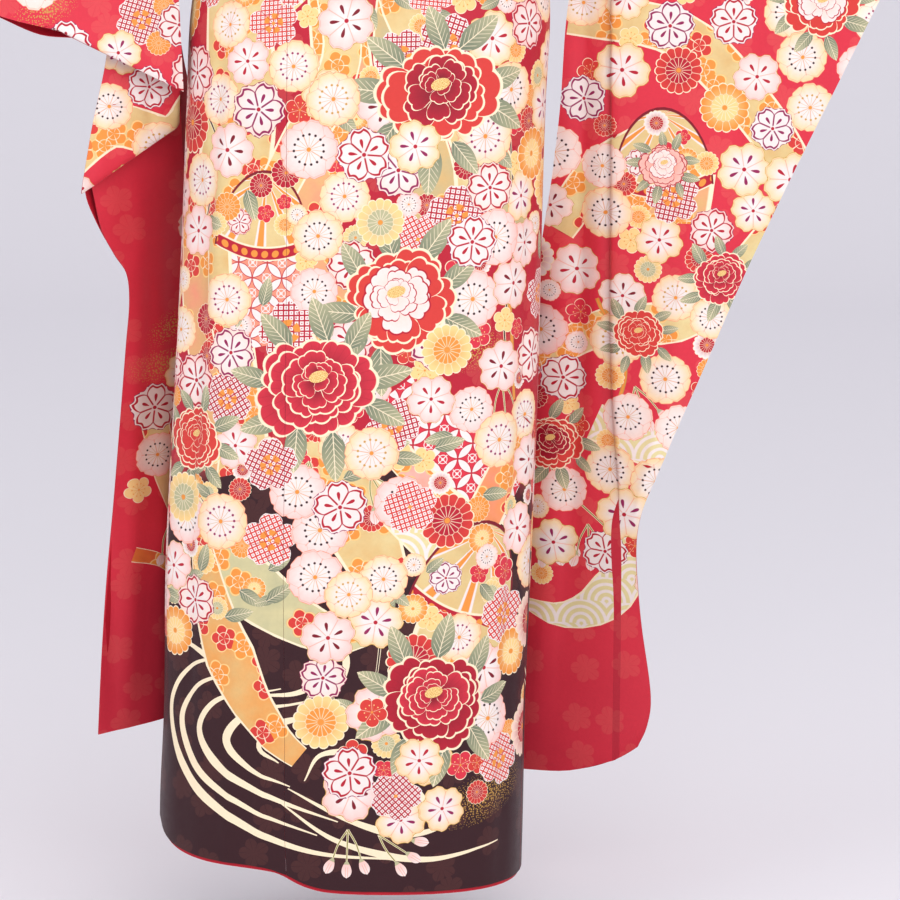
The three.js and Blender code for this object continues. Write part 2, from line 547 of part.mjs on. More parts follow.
const CLOTH = [
  ['body_left', () => wall(bodyRows('left'), SILK_WALL), 0xc3243a, 0.62],
  ['body_right', () => wall(bodyRows('right'), SILK_WALL), 0xc3243a, 0.62],
  ['okumi_left', () => wall(okumiRows('left'), SILK_WALL), 0xd9a98c, 0.62],
  ['okumi_right', () => wall(okumiRows('right'), SILK_WALL), 0xc3243a, 0.62],
  ['sleeve_left', () => wall(leftSleeveRows(), SILK_WALL), 0xc3243a, 0.62],
  ['sleeve_right', () => wall(rightSleeveRows(), SILK_WALL), 0xc3243a, 0.62],
  ['collar', () => wall(collarRows(), COLLAR_WALL), 0xc3243a, 0.6],
  ['hip_tuck', () => wall(tuckRows(), SILK_WALL), 0xc3243a, 0.62],
  ['obi', () => wall(obiRows(), OBI_WALL, { ring: true }), 0xd8b36a, 0.5],
  ['obi_drum', () => wall(drumRows(), OBI_WALL), 0xd8b36a, 0.5],
  ['hem_roll', () => wall(hemRollRows(), SILK_WALL), 0xb01226, 0.6],
];

const kimono = new THREE.Group();
kimono.name = 'furisode';
for (const [name, make, colour, roughness] of CLOTH) {
  const material = new THREE.MeshStandardMaterial({ color: colour, roughness, metalness: 0, name: `${name}_cloth` });
  const mesh = new THREE.Mesh(make(), material);
  mesh.name = name;
  kimono.add(mesh);
}

export default kimono;
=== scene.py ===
"""A worn furisode kimono: figured silk with a dense dyed flower print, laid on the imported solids' forms."""

import logging
import math
import random
from dataclasses import dataclass, field
from enum import Enum
from typing import Callable, Optional, Sequence

import bpy
import numpy as np
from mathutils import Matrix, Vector
from mathutils.bvhtree import BVHTree
from mathutils.geometry import delaunay_2d_cdt


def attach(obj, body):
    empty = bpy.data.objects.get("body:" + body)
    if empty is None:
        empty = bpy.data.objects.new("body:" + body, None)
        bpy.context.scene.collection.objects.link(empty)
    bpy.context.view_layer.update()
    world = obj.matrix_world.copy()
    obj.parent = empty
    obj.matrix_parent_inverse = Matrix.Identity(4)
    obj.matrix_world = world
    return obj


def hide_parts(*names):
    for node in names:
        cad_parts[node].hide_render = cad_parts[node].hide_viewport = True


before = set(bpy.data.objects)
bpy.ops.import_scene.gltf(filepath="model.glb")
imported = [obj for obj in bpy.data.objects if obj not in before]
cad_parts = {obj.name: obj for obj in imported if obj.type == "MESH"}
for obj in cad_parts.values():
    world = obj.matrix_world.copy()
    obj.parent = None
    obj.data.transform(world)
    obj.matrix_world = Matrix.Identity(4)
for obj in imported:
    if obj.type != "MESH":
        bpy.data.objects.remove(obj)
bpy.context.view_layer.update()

LOG = logging.getLogger("furisode")
MM = 0.001
SILK = 1.3  # visible thickness of the lined silk, mm
LOOP = 1045.0  # nominal length once round the skirt, mm: one turn of the wrap in the print
SKIRT_TOP, SKIRT_SHARE = -262.0, 0.8  # where the wrapped skirt ends, and its share of a cloth's length
SKIRT_LAP = 45.0  # how far below that the yoke's curve begins, mm
YOKE_LENGTH = 330.0  # length of print above the skirt's top, mm
OKUMI_POINT, HEM_LEVEL = -270.0, -1340.0
OBI_TOP, OBI_BOTTOM = -256.0, -400.0
OBI_DEPTH, OBI_THICK = -9.3, 2.6  # middle of the belt, outside the robe's section, and its thickness
TUCK_TOP, TUCK_BOTTOM = -382.0, -456.0

Array = np.ndarray
Colour = Triple = tuple[float, float, float]


def paint(hexcode: str) -> Colour:
    """A dye's colour as linear light."""
    parts = [int(hexcode[i : i + 2], 16) / 255 for i in (0, 2, 4)]
    return tuple(c / 12.92 if c <= 0.04045 else ((c + 0.055) / 1.055) ** 2.4 for c in parts)


class Dye(Enum):
    """The dyes of the robe."""

    RED = "cf3245"
    CRIMSON = "b01a32"
    # DEEP is a dye of the print and also the colour of the painted shade inside pleats and folds.
    DEEP = "7c1226"
    PLUM = "35141b"
    MAGENTA = "8e1d55"
    VERMILION = "cc3d37"
    ORANGE = "e29140"
    # CORAL is a dye of the print and also the painted sheen of the woven ground pattern.
    CORAL = "e69078"
    PINK = "ecbdb4"
    BLUSH = "eccdbf"
    CREAM = "ecdcbe"
    WHITE = "e5dad6"
    STRAW = "ecc98a"
    GOLD = "c2984c"
    SAND = "d3ae74"
    LEAF = "6b7664"
    SAGE = "b3b08d"
    OLIVE = "8d8a4a"
    MINT = "dacd9b"
    LINING = "b3152a"

    @property
    def linear(self) -> Colour:
        """The dye in linear light."""
        return paint(self.value)


(RED, CRIMSON, DEEP, PLUM, MAGENTA, VERMILION, ORANGE, CORAL, PINK, BLUSH, CREAM, WHITE, STRAW, GOLD, SAND,
 LEAF, SAGE, OLIVE, MINT, LINING) = Dye


# ------------------------------------------------------------------ section tables (mm)
class Sections:
    """A table of sections with named columns, read smoothly between its rows."""

    def __init__(self, columns: str, rows: Sequence[Sequence[float]]) -> None:
        """Keep the rows.

        Args:
            columns: Names of the columns, the first being the place that is looked up.
            rows: One row a section, in order of the first column.
        """
        self.names = columns.split()
        self.rows = np.array(rows, float)
        if self.rows[0, 0] > self.rows[-1, 0]:
            self.rows = self.rows[::-1]

    def at(self, place: float) -> dict[str, float]:
        """One section.

        Args:
            place: Where to look, in the first column's terms.

        Returns:
            Column name to value.
        """
        r = self.rows
        i = int(np.clip(np.searchsorted(r[:, 0], place) - 1, 0, len(r) - 2))
        a, b = r[i], r[i + 1]
        span = b[0] - a[0]
        t = min(1.0, max(0.0, (place - a[0]) / span))
        before = (b - r[i - 1]) / (b[0] - r[i - 1][0]) * span if i else b - a
        after = (r[i + 2] - a) / (r[i + 2][0] - a[0]) * span if i < len(r) - 2 else b - a
        return dict(zip(self.names, hermite(a, b, before, after, t)))


def hermite(a: Array, b: Array, before: Array, after: Array, t: float) -> Array:
    """A smooth step between two values with given slopes."""
    t2, t3 = t * t, t * t * t
    return (2 * t3 - 3 * t2 + 1) * a + (t3 - 2 * t2 + t) * before + (3 * t2 - 2 * t3) * b + (t3 - t2) * after


def mix(a: float, b: float, t: float) -> float:
    """A value the share t of the way from a to b."""
    return a + (b - a) * t


def ease(a: float, b: float, x: float) -> float:
    """A soft step from 0 at a to 1 at b."""
    t = min(1.0, max(0.0, (x - a) / (b - a)))
    return t * t * (3 - 2 * t)


def bump(centre: float, width: float, x: float) -> float:
    """A soft ridge of height 1 at centre that ends width away on both sides."""
    t = abs(x - centre) / width
    return 0.0 if t >= 1 else 0.5 + 0.5 * math.cos(math.pi * t)


BODY = Sections("z mid half front back square", [
    (-1375, -44, 188, 134, 128, 2.8), (-1295, -44, 190, 134, 128, 2.8), (-1183, -40, 188, 133, 127, 2.8),
    (-1030, -35, 189, 132, 127, 2.8), (-870, -27, 187, 131, 127, 2.8), (-730, -21, 184, 130, 127, 2.8),
    (-570, -15, 182, 129, 126, 2.8), (-470, -10, 181, 127, 125, 2.7), (-415, -7, 170, 120, 118, 2.5),
    (-370, -4, 161, 116, 112, 2.4), (-245, 0, 160, 115, 110, 2.4), (-200, 0, 160, 115, 108, 2.4),
])
SEAMS = Sections("z outer_edge okumi_seam left_side right_side inner_seam inner_edge", [
    (-1375, -0.212, -0.047, 0.212, 0.788, 1.045, 1.185), (-1183, -0.216, -0.053, 0.210, 0.790, 1.050, 1.190),
    (-870, -0.222, -0.063, 0.210, 0.790, 1.055, 1.195), (-560, -0.228, -0.073, 0.215, 0.785, 1.065, 1.205),
    (-456, -0.230, -0.077, 0.222, 0.778, 1.075, 1.210), (-393, -0.205, -0.082, 0.235, 0.765, 1.085, 1.200),
    (-330, -0.150, -0.086, 0.245, 0.755, 1.090, 1.150), (-270, -0.094, -0.090, 0.250, 0.750, 1.090, 1.094),
    (-245, -0.074, -0.074, 0.250, 0.750, 1.074, 1.074), (-200, -0.040, -0.040, 0.250, 0.750, 1.040, 1.040),
])
HEM = Sections("turn z", [
    (-0.235, -1290), (-0.212, -1299), (-0.185, -1314), (-0.14, -1324), (-0.06, -1332), (-0.035, -1345),
    (-0.012, -1352), (0.04, -1355), (0.21, -1357), (0.5, -1354), (0.62, -1342), (0.7, -1318), (0.77, -1292),
    (0.85, -1305), (1.045, -1326), (1.2, -1290),
])
FRONT_ROWS = [
    [(-34, -116, -205), (45, -116, -205), (116, -90, -211), (168, -16, -234)],
    [(4, -114, -150), (78, -106, -152), (150, -74, -178), (226, -12, -305)],
    [(42, -88, -85), (100, -80, -90), (170, -60, -118), (238, -38, -262)],
    [(62, -50, -35), (120, -52, -50), (185, -52, -86), (252, -52, -190)],
    [(70, -22, -10), (134, -26, -33), (198, -36, -64), (263, -45, -130)],
    [(72, -8, -4), (136, -9, -26), (200, -14, -57), (267, -26, -104)],
]
CREST_ROW = [(72, 0, -2), (136, 0, -25), (200, 0, -55), (268, 0, -96)]
BACK_ROWS = [
    [(1, 107, -200), (60, 108, -205), (118, 86, -213), (168, 16, -234)],
    [(1, 94, -120), (78, 101, -150), (150, 82, -185), (226, 12, -305)],
    [(1, 72, -48), (95, 80, -95), (168, 70, -126), (238, 38, -262)],
    [(28, 58, -20), (116, 58, -50), (185, 56, -88), (252, 52, -190)],
    [(58, 34, -6), (134, 27, -33), (198, 38, -64), (263, 45, -130)],
    [(68, 14, -3), (136, 9, -26), (200, 14, -57), (267, 26, -104)],
]
SLEEVE_COLUMNS = "row out_x out_y out_z out_gap in_x in_y in_z in_gap fold share"
LEFT_SLEEVE = Sections(SLEEVE_COLUMNS, [
    (0, 562, -40, -270, 0, 269, 0, -96, 0, -9, 0), (1, 560, -40, -277, 18, 268, 0, -104, 26, -9, 0),
    (2, 555, -40, -303, 33, 264, 0, -130, 45, -9, 0), (3, 541, -38, -350, 38, 254, 0, -190, 52, -9, 0),
    (4, 519, -34, -412, 27, 240, 0, -262, 38, -9, 0.3), (5, 500, -30, -459, 8, 228.5, 0, -305, 12, -6, 1),
    (6, 468, -24, -529, 1.5, 206, 6, -385, 8, 8, 1), (7, 425, -15, -620, 1.5, 188, 18, -475, 7, 16, 1),
    (8, 372, -3, -737, 1.5, 180, 30, -590, 6, 28, 1), (9, 330, 7, -840, 1.5, 162, 62, -715, 6, 42, 1),
    (10, 290, 18, -938, 1.5, 120, 100, -830, 5, 28, 1),
    (11, 265, 30, -1012, 1.5, 84, 120, -935, 5, -9, 0.05),
    (12, 268, 35, -1098, 1.5, 54, 134, -1040, 5, -9, 0), (13, 280, 35, -1186, 1.5, 34, 142, -1150, 4, -9, 0),
    (14, 277, 35, -1222, 1.5, 26, 145, -1207, 3, -9, 0),
    (15, 267, 36, -1246, 1.7, 20, 146, -1250, 2.8, -9, 0),
])
PLEAT_LINE = Sections("z x", [(-250, 240), (-465, 234), (-667, 236), (-811, 238), (-916, 245), (-1000, 250),
                              (-1300, 250)])
PLEAT_STEP, BOTTOM_SAG, BODY_CLEAR = 5.0, 35.0, 7.0
DROOP_COLUMNS = "row out_x out_y out_z out_gap in_x in_y in_z in_gap step"
RIGHT_SLEEVE_TOP = [
    (0, -562, -60, -292, 0, -269, 0, -96, 0, 0), (1, -560, -60, -299, 18, -268, 0, -104, 26, 0),
    (2, -553, -60, -324, 33, -264, 0, -130, 45, 0), (3, -530, -60, -368, 38, -254, 0, -190, 52, 0),
]
RIGHT_SLEEVE_FRONT = Sections(DROOP_COLUMNS, RIGHT_SLEEVE_TOP + [
    (4, -480, -60, -420, 32, -240, 0, -262, 38, 2), (5, -425, -61, -458, 14, -228.5, 0, -305, 12, 8),
    (6, -372, -63, -481, 6, -204, -34, -420, 9, 15), (7, -318, -62, -494, 4, -196, -53, -545, 4, 16),
    (8, -312, -61, -495, 4, -197, -46, -547, 4, 12), (9, -290, -54, -478, 4, -198, -30, -520, 4, 6),
    (9.4, -288, -49, -478, 3, -198, -25, -520, 4, 3), (10, -272, -46, -506, 1.5, -198, -20, -535, 4, 3),
    (11, -288, -46, -590, 1.5, -198, -15, -560, 4, 8), (12, -299, -44, -650, 1.5, -199, -8, -583, 4, 10),
    (13, -299, -41, -655, 1.5, -199, -2, -586, 4, 6.5), (14, -296, -37, -640, 1.5, -198, 7, -565, 4, 3),
    (14.4, -294, -32, -641, 1.5, -205, 13, -566, 4, 1), (15, -282, -16, -703, 1.5, -206, 60, -640, 5, 1),
    (16, -261, 0, -745, 2.4, -197, 98, -715, 5, 0), (17, -264, 0, -820, 2.2, -165, 130, -820, 5, 0),
    (18, -281, 0, -1010, 1.5, -120, 146, -1000, 5, 0), (19, -292, 0, -1130, 1.5, -100, 150, -1110, 4, 0),
    (20, -297, 0, -1205, 1.5, -92, 152, -1185, 3, 0), (21, -298, 0, -1224, 1.7, -90, 152, -1205, 2.6, 0),
])
RIGHT_SLEEVE_BACK = Sections(DROOP_COLUMNS, RIGHT_SLEEVE_TOP + [
    (4, -480, -60, -420, 32, -240, 0, -262, 38, 0), (5, -425, -60, -458, 14, -228.5, 0, -305, 12, 0),
    (6, -338, -54, -499, 4, -206, 10, -390, 9, 0), (7, -272, -48, -509, 1.5, -202, 30, -470, 6, 0),
    (8, -288, -38, -590, 1.5, -200, 70, -555, 5, 0), (9, -299, -32, -652, 1.5, -198, 90, -620, 5, 0),
    (10, -282, -12, -704, 1.5, -194, 105, -670, 5, 0), (11, -261, 0, -746, 2.4, -188, 118, -725, 5, 0),
    (12, -264, 0, -820, 2.2, -165, 134, -820, 5, 0), (13, -281, 0, -1010, 1.5, -120, 148, -1000, 5, 0),
    (14, -292, 0, -1130, 1.5, -100, 150, -1110, 4, 0), (15, -297, 0, -1205, 1.5, -92, 152, -1185, 3, 0),
    (16, -298, 0, -1224, 1.7, -90, 152, -1205, 2.6, 0),
])
COLLAR_STAND = Sections("place stand back", [
    (1, 0, 0), (4, 0.1, 0), (6, 0.45, 0), (8, 0.8, 0.05), (10, 0.95, 0.25), (12, 1, 0.34),
])
COLLAR_WIDE, COLLAR_GAP = 54.0, 1.6
DRUM = [(123.5, -300), (123.5, -262), (132, -240), (158, -227), (192, -238), (214, -275), (219, -335),
        (214, -400), (205, -455), (196, -472), (184, -474), (172, -462), (168, -430), (166, -380),
        (164, -340)]
DRUM_HALF, DRUM_BOW = 150.0, 8.0  # half its width, and how far its ends bend in


class Wrap:
    """The wrapped skirt and waist: a rounded section at each height, followed by turns."""

    STEPS = 360
    NEAR = 0.006  # turn to each side that the direction is taken over

    def __init__(self) -> None:
        """Start with no sections measured."""
        self.kept: dict[int, tuple[Array, Array]] = {}

    def ring(self, z: float) -> tuple[Array, Array]:
        """The section at a height.

        Args:
            z: Height in mm.

        Returns:
            Its points in the plane and the length along it at each.
        """
        key = round(z * 4)
        if key not in self.kept:
            s = BODY.at(z)
            a = np.linspace(0, 2 * math.pi, self.STEPS + 1)
            power = 2 / s["square"]
            sx, cy = np.sin(a), np.cos(a)
            x = s["mid"] + s["half"] * np.sign(sx) * np.abs(sx) ** power
            y = -np.sign(cy) * np.where(cy > 0, s["front"], s["back"]) * np.abs(cy) ** power
            p = np.stack([x, y], 1)
            run = np.concatenate([[0], np.cumsum(np.hypot(*np.diff(p, axis=0).T))])
            self.kept[key] = (p, run / run[-1])
        return self.kept[key]

    def point(self, turn: float, z: float, depth: float) -> Array:
        """A point on the section.

        Args:
            turn: Turns round from the front middle, towards the wearer's left.
            z: Height in mm.
            depth: How far inside the section.

        Returns:
            The point in mm.
        """
        p, run = self.ring(z)
        w = turn - math.floor(turn)
        at = [np.interp(w, run, p[:, k]) for k in (0, 1)]
        ahead, behind = (w + self.NEAR) % 1, (w - self.NEAR) % 1
        tangent = [np.interp(ahead, run, p[:, k]) - np.interp(behind, run, p[:, k]) for k in (0, 1)]
        n = math.hypot(*tangent)
        return np.array([at[0] - tangent[1] / n * depth, at[1] + tangent[0] / n * depth, z])

    @staticmethod
    def depth(turn: float) -> float:
        """How far inside the outline the cloth lies at a turn of the wrap."""
        return 1 + 9 * ease(0.2, 0.76, turn)


WRAP = Wrap()


def clear_of_body(p: Array, margin: float) -> Array:
    """Moves a point out of the robe's section.

    Args:
        p: A point in mm.
        margin: Clearance in mm.

    Returns:
        The point, moved out if it was too close.
    """
    x, y, z = p
    if z > -400:
        return p
    s = BODY.at(z)
    dx = x - s["mid"]
    half, deep = s["half"] + margin, (s["back"] if y > 0 else s["front"]) + margin
    f = ((abs(dx) / half) ** s["square"] + (abs(y) / deep) ** s["square"]) ** (1 / s["square"])
    return p if f >= 1 or f < 1e-6 else np.array([s["mid"] + dx / f, y / f, z])


# ------------------------------------------------------------------ the panels' forms
def along(row: Sequence[Sequence[float]], u: float) -> Array:
    """A point on a smooth curve through four points.

    Args:
        row: The four points.
        u: Place from 0 to 1.

    Returns:
        The point.
    """
    r = np.array(row, float)
    s = min(2.9999, max(0.0, u * 3))
    i = int(s)
    before = (r[i + 1] - r[i - 1]) / 2 if i else r[i + 1] - r[i]
    after = (r[i + 2] - r[i]) / 2 if i < 2 else r[i + 1] - r[i]
    return hermite(r[i], r[i + 1], before, after, s - i)


def flip(row: Sequence[Sequence[float]]) -> list[Triple]:
    """The same points on the wearer's other side."""
    return [(-x, y, z) for x, y, z in row]


class BodyHalf:
    """Front or back cloth of one side of the body, from hem to shoulder."""

    def __init__(self, left: bool, front: bool) -> None:
        """Lay out the rows above the skirt.

        Args:
            left: Whether it is the wearer's left side.
            front: Whether it is the front.
        """
        self.left, self.front = left, front
        self.inner = ("okumi_seam" if left else "inner_seam") if front else ""
        self.outer = "left_side" if left else "right_side"
        inset = (9, 6, 1, 0, 0, 0) if front and not left else (0,) * 6
        rows = []
        for k, row in enumerate(FRONT_ROWS if front else BACK_ROWS):
            moved = [(x, y + (inset[k] if c < 2 else 0), z) for c, (x, y, z) in enumerate(row)]
            rows.append(moved if left else flip(moved))
        rows.append(CREST_ROW if left else flip(CREST_ROW))
        low = [[self.skirt(self.turn(u, z), z) for u in (0, 1 / 3, 2 / 3, 1)]
               for z in (SKIRT_TOP - SKIRT_LAP, SKIRT_TOP)]
        self.rows = low + rows

    @staticmethod
    def skirt(turn: float, z: float) -> Array:
        """A point of the wrapped skirt."""
        return WRAP.point(turn, z, WRAP.depth(turn))

    def turn(self, u: float, z: float) -> float:
        """The turn of the wrap at a share of the width and a height."""
        s = SEAMS.at(z)
        return mix(s[self.inner] if self.inner else 0.5, s[self.outer], u)

    def spot(self, u: float, h: float) -> tuple[Array, Array]:
        """A point of the cloth and its place in the print.

        Args:
            u: Share of the width, from the middle to the side.
            h: Share of the height, from the hem to the shoulder.

        Returns:
            The point and the print place, in mm.
        """
        if h < SKIRT_SHARE:
            k = h / SKIRT_SHARE
            z = mix(HEM.at(self.turn(u, HEM_LEVEL))["z"], SKIRT_TOP, k)
            turn = self.turn(u, z)
            return self.skirt(turn, z), np.array([turn * LOOP, z])
        share = (h - SKIRT_SHARE) / (1 - SKIRT_SHARE)
        s = 1 + share * (len(self.rows) - 2)
        i = min(len(self.rows) - 2, int(s))
        rows = [along(self.rows[k], u) for k in (i - 1, i, i + 1, min(len(self.rows) - 1, i + 2))]
        end = i == len(self.rows) - 2
        after = rows[2] - rows[1] if end else (rows[3] - rows[1]) / 2
        p = hermite(rows[1], rows[2], (rows[2] - rows[0]) / 2, after, s - i)
        if not self.front and i < 4:
            p[0] = max(0.9, p[0]) if self.left else min(-0.9, p[0])
        return p, np.array([self.turn(u, SKIRT_TOP) * LOOP, SKIRT_TOP + share * YOKE_LENGTH])


def okumi_spot(left: bool, u: float, h: float) -> tuple[Array, Array]:
    """A point of the narrow front panel and its place in the print.

    Args:
        left: Whether it is the wearer's left panel.
        u: Share of the width from the seam to the free edge.
        h: Share of the height.

    Returns:
        The point and the print place, in mm.
    """
    seam, edge = ("okumi_seam", "outer_edge") if left else ("inner_seam", "inner_edge")
    low = SEAMS.at(HEM_LEVEL)
    z = mix(HEM.at(mix(low[seam], low[edge], u))["z"], OKUMI_POINT, h)
    s = SEAMS.at(z)
    turn = mix(s[seam], s[edge], u)
    return WRAP.point(turn, z, WRAP.depth(turn)), np.array([turn * LOOP, z])


def sewn_gap(gap: float) -> float:
    """The half distance between front and back cloth, drawn together where they are sewn."""
    return max(0.75, gap - 0.8) if gap < 4 else gap


class LeftSleeve:
    """The long sleeve on the viewer's right, with its standing pleat."""

    @staticmethod
    def front(row: float) -> list[Array]:
        """Points across the front cloth at a row, round the pleat."""
        r = LEFT_SLEEVE.at(row)
        wide = r["out_x"] - r["in_x"]
        line = PLEAT_LINE.at(mix(r["in_z"], r["out_z"], 0.3))["x"]
        edge = min(0.94, max(0.12, (line - r["in_x"]) / wide))
        over = min((1 - edge) * 0.68, r["fold"] / abs(wide))
        small = 3 / abs(wide) * ease(2, -9, r["fold"])
        k = r["share"]

        def plain(t: float, forward: float) -> Array:
            sag = BOTTOM_SAG * (1 - abs(2 * t - 1) ** 3) * ease(10, 15, row)
            swell = math.sin(math.pi * t) * 3 * ease(5, 8, row) * (1 - ease(13.5, 15, row))
            gap = sewn_gap(mix(r["in_gap"], r["out_gap"], t**3)) + swell
            p = np.array([mix(r["in_x"], r["out_x"], t), mix(r["in_y"], r["out_y"], t) - gap - forward,
                          mix(r["in_z"], r["out_z"], t) - sag])
            return clear_of_body(p, BODY_CLEAR)

        root = max(0.03, edge + over)
        spots = [plain(s * root, 0) for s in (0, 0.2, 0.4, 0.6, 0.8)]
        spots += [plain(edge + over, 0), plain(edge + over + small, PLEAT_STEP * k),
                  plain(edge - small, PLEAT_STEP * k)]
        spots.append(plain(edge, 2 * PLEAT_STEP * k))
        for s in (0.2, 0.4, 0.6, 0.74, 0.88, 1):
            spots.append(plain(mix(edge, 1, s), 2 * PLEAT_STEP * k * (1 - ease(0.74, 1, s))))
        return spots


def sleeve_back(table: Sections, row: float, columns: int) -> list[Array]:
    """Points across the back cloth of a sleeve at a row.

    Args:
        table: The sleeve's sections.
        row: Row of the table.
        columns: How many points.

    Returns:
        The points, in mm.
    """
    r, last = table.at(row), table.rows[-1, 0]
    spots = []
    for t in np.linspace(0, 1, columns):
        sag = BOTTOM_SAG * (1 - abs(2 * t - 1) ** 3) * ease(10, 15, row) if table is LEFT_SLEEVE else 0
        swell = math.sin(math.pi * t) * 3 * ease(5, 8, row) * (1 - ease(last - 1.5, last, row))
        gap = sewn_gap(mix(r["in_gap"], r["out_gap"], t**3)) + swell
        p = np.array([mix(r["in_x"], r["out_x"], t), mix(r["in_y"], r["out_y"], t) + gap,
                      mix(r["in_z"], r["out_z"], t) - sag])
        spots.append(clear_of_body(p, BODY_CLEAR + 2 * gap + 1))
    return spots


def right_sleeve_front(row: float, columns: int) -> list[Array]:
    """Points across the front cloth of the other sleeve at a row, with its two droops.

    Args:
        row: Row of the table.
        columns: How many points.

    Returns:
        The points, in mm.
    """
    r = RIGHT_SLEEVE_FRONT.at(row)
    spots = []
    for t in np.linspace(0, 1, columns):
        gap = sewn_gap(mix(r["in_gap"], r["out_gap"], t**3))
        forward = r["step"] * math.sin(math.pi * mix(0.12 * ease(5, 6, row), 0.62, t))
        p = np.array([mix(r["in_x"], r["out_x"], t), mix(r["in_y"], r["out_y"], t) - gap - forward,
                      mix(r["in_z"], r["out_z"], t)])
        spots.append(clear_of_body(p, BODY_CLEAR))
    return spots


def collar_spot(left: bool, u: float, place: float) -> Array:
    """A point of the collar.

    Args:
        left: Whether it is the wearer's left run.
        u: Share of its width from the robe's edge outward.
        place: 1 at the waist, 8 at the shoulder, 12 at the middle of the nape.

    Returns:
        The point, in mm.
    """
    half = BodyHalf(left, place <= 8)

    def edge(v: float, k: float) -> Array:
        return half.spot(v, SKIRT_SHARE + (1 - SKIRT_SHARE) * (max(1, min(8, k)) - 1) / 7)[0]

    k = place if place <= 8 else 16 - place
    p = edge(0, k)
    run = edge(0, k + 0.05) - edge(0, k - 0.05)
    run /= np.linalg.norm(run)
    out = p - edge(0.12, k)
    out -= run * out.dot(run)
    out /= np.linalg.norm(out)
    s = COLLAR_STAND.at(place)
    up = np.array([0, s["back"], 1]) / math.hypot(s["back"], 1)
    out = out * (1 - s["stand"]) + up * s["stand"]
    p = p + out / np.linalg.norm(out) * (COLLAR_GAP + COLLAR_WIDE * u)
    if not left:
        p[1] += 13 * u**1.4 * (1 - ease(3.8, 5.6, place))
    return p


def finer(grid: Array, axis: int, spacing: float) -> Array:
    """Puts smooth steps between the rows or columns of a grid of points.

    Args:
        grid: Rows of columns of points; the first three numbers of a point are its place in mm.
        axis: 0 for more rows, 1 for more columns.
        spacing: The largest step wanted, in mm.

    Returns:
        The finer grid.
    """
    g = np.moveaxis(grid, axis, 0)
    chord = np.maximum(np.linalg.norm(np.diff(g[..., :3], axis=0), axis=-1).mean(axis=1), 1e-6)
    t = np.concatenate([[0], np.cumsum(chord)])
    slope = np.empty_like(g)
    slope[1:-1] = (g[2:] - g[:-2]) / (t[2:] - t[:-2])[:, None, None]
    slope[0], slope[-1] = (g[1] - g[0]) / chord[0], (g[-1] - g[-2]) / chord[-1]
    out = []
    for i, wide in enumerate(chord):
        parts = max(1, math.ceil(wide / spacing))
        for s in np.arange(parts) / parts:
            out.append(hermite(g[i], g[i + 1], slope[i] * wide, slope[i + 1] * wide, s))
    out.append(g[-1])
    return np.moveaxis(np.array(out), 0, axis)


@dataclass(frozen=True)
class Crease:
    """A soft ridge (height above 0) or trough (below 0) along a line of the print's plane.

    Attributes:
        start: Where it begins, in mm.
        end: Where it ends, in mm.
        wide: How far it reaches to each side, in mm.
        height: How high it stands, in mm.
    """

    start: tuple[float, float]
    end: tuple[float, float]
    wide: float
    height: float

    def lift(self, places: Array) -> Array:
        """How far the crease lifts each place.

        Args:
            places: Print places in mm, in any grid.

        Returns:
            Heights in mm.
        """
        a, b = np.array(self.start), np.array(self.end)
        run = b - a
        t = np.clip(((places - a) @ run) / run.dot(run), -0.15, 1.15)
        off = np.linalg.norm(places - a - t[..., None] * run, axis=-1) / self.wide
        ends = np.clip((t + 0.15) / 0.35, 0, 1) * np.clip((1.15 - t) / 0.35, 0, 1)
        return self.height * np.exp(-off * off * 2.2) * ends


def run_along(points: Array) -> Array:
    """The length from the first point to each."""
    return np.concatenate([[0], np.cumsum(np.linalg.norm(np.diff(points, axis=0), axis=1))])


def normals_of(grid: Array) -> Array:
    """Unit normals of a grid of points, columns crossed with rows."""
    n = np.cross(np.gradient(grid[..., :3], axis=1), np.gradient(grid[..., :3], axis=0))
    return n / np.maximum(np.linalg.norm(n, axis=-1, keepdims=True), 1e-9)


# ------------------------------------------------------------------ motifs of the print
class Kind(Enum):
    """What a piece of the print is."""

    GROUND = "ground"
    LINING = "lining"
    DOTTED = "dotted double cherry"
    OUTLINED = "outlined double cherry"
    SPOTTED = "spotted cherry"
    KANOKO = "tie-dyed cherry"
    PLUM = "plum blossom"
    KIKU = "chrysanthemum"
    PETAL = "peony petal"
    HEART = "peony heart"
    LEAF = "leaf"
    BUD = "bud"
    STREAM = "stream"
    RIBBON = "gold ribbon"
    SHIPPO = "linked circles"
    WAVES = "sea waves"
    STEM = "stem"
    DOME = "flower basket"
    DUST = "gold dust"


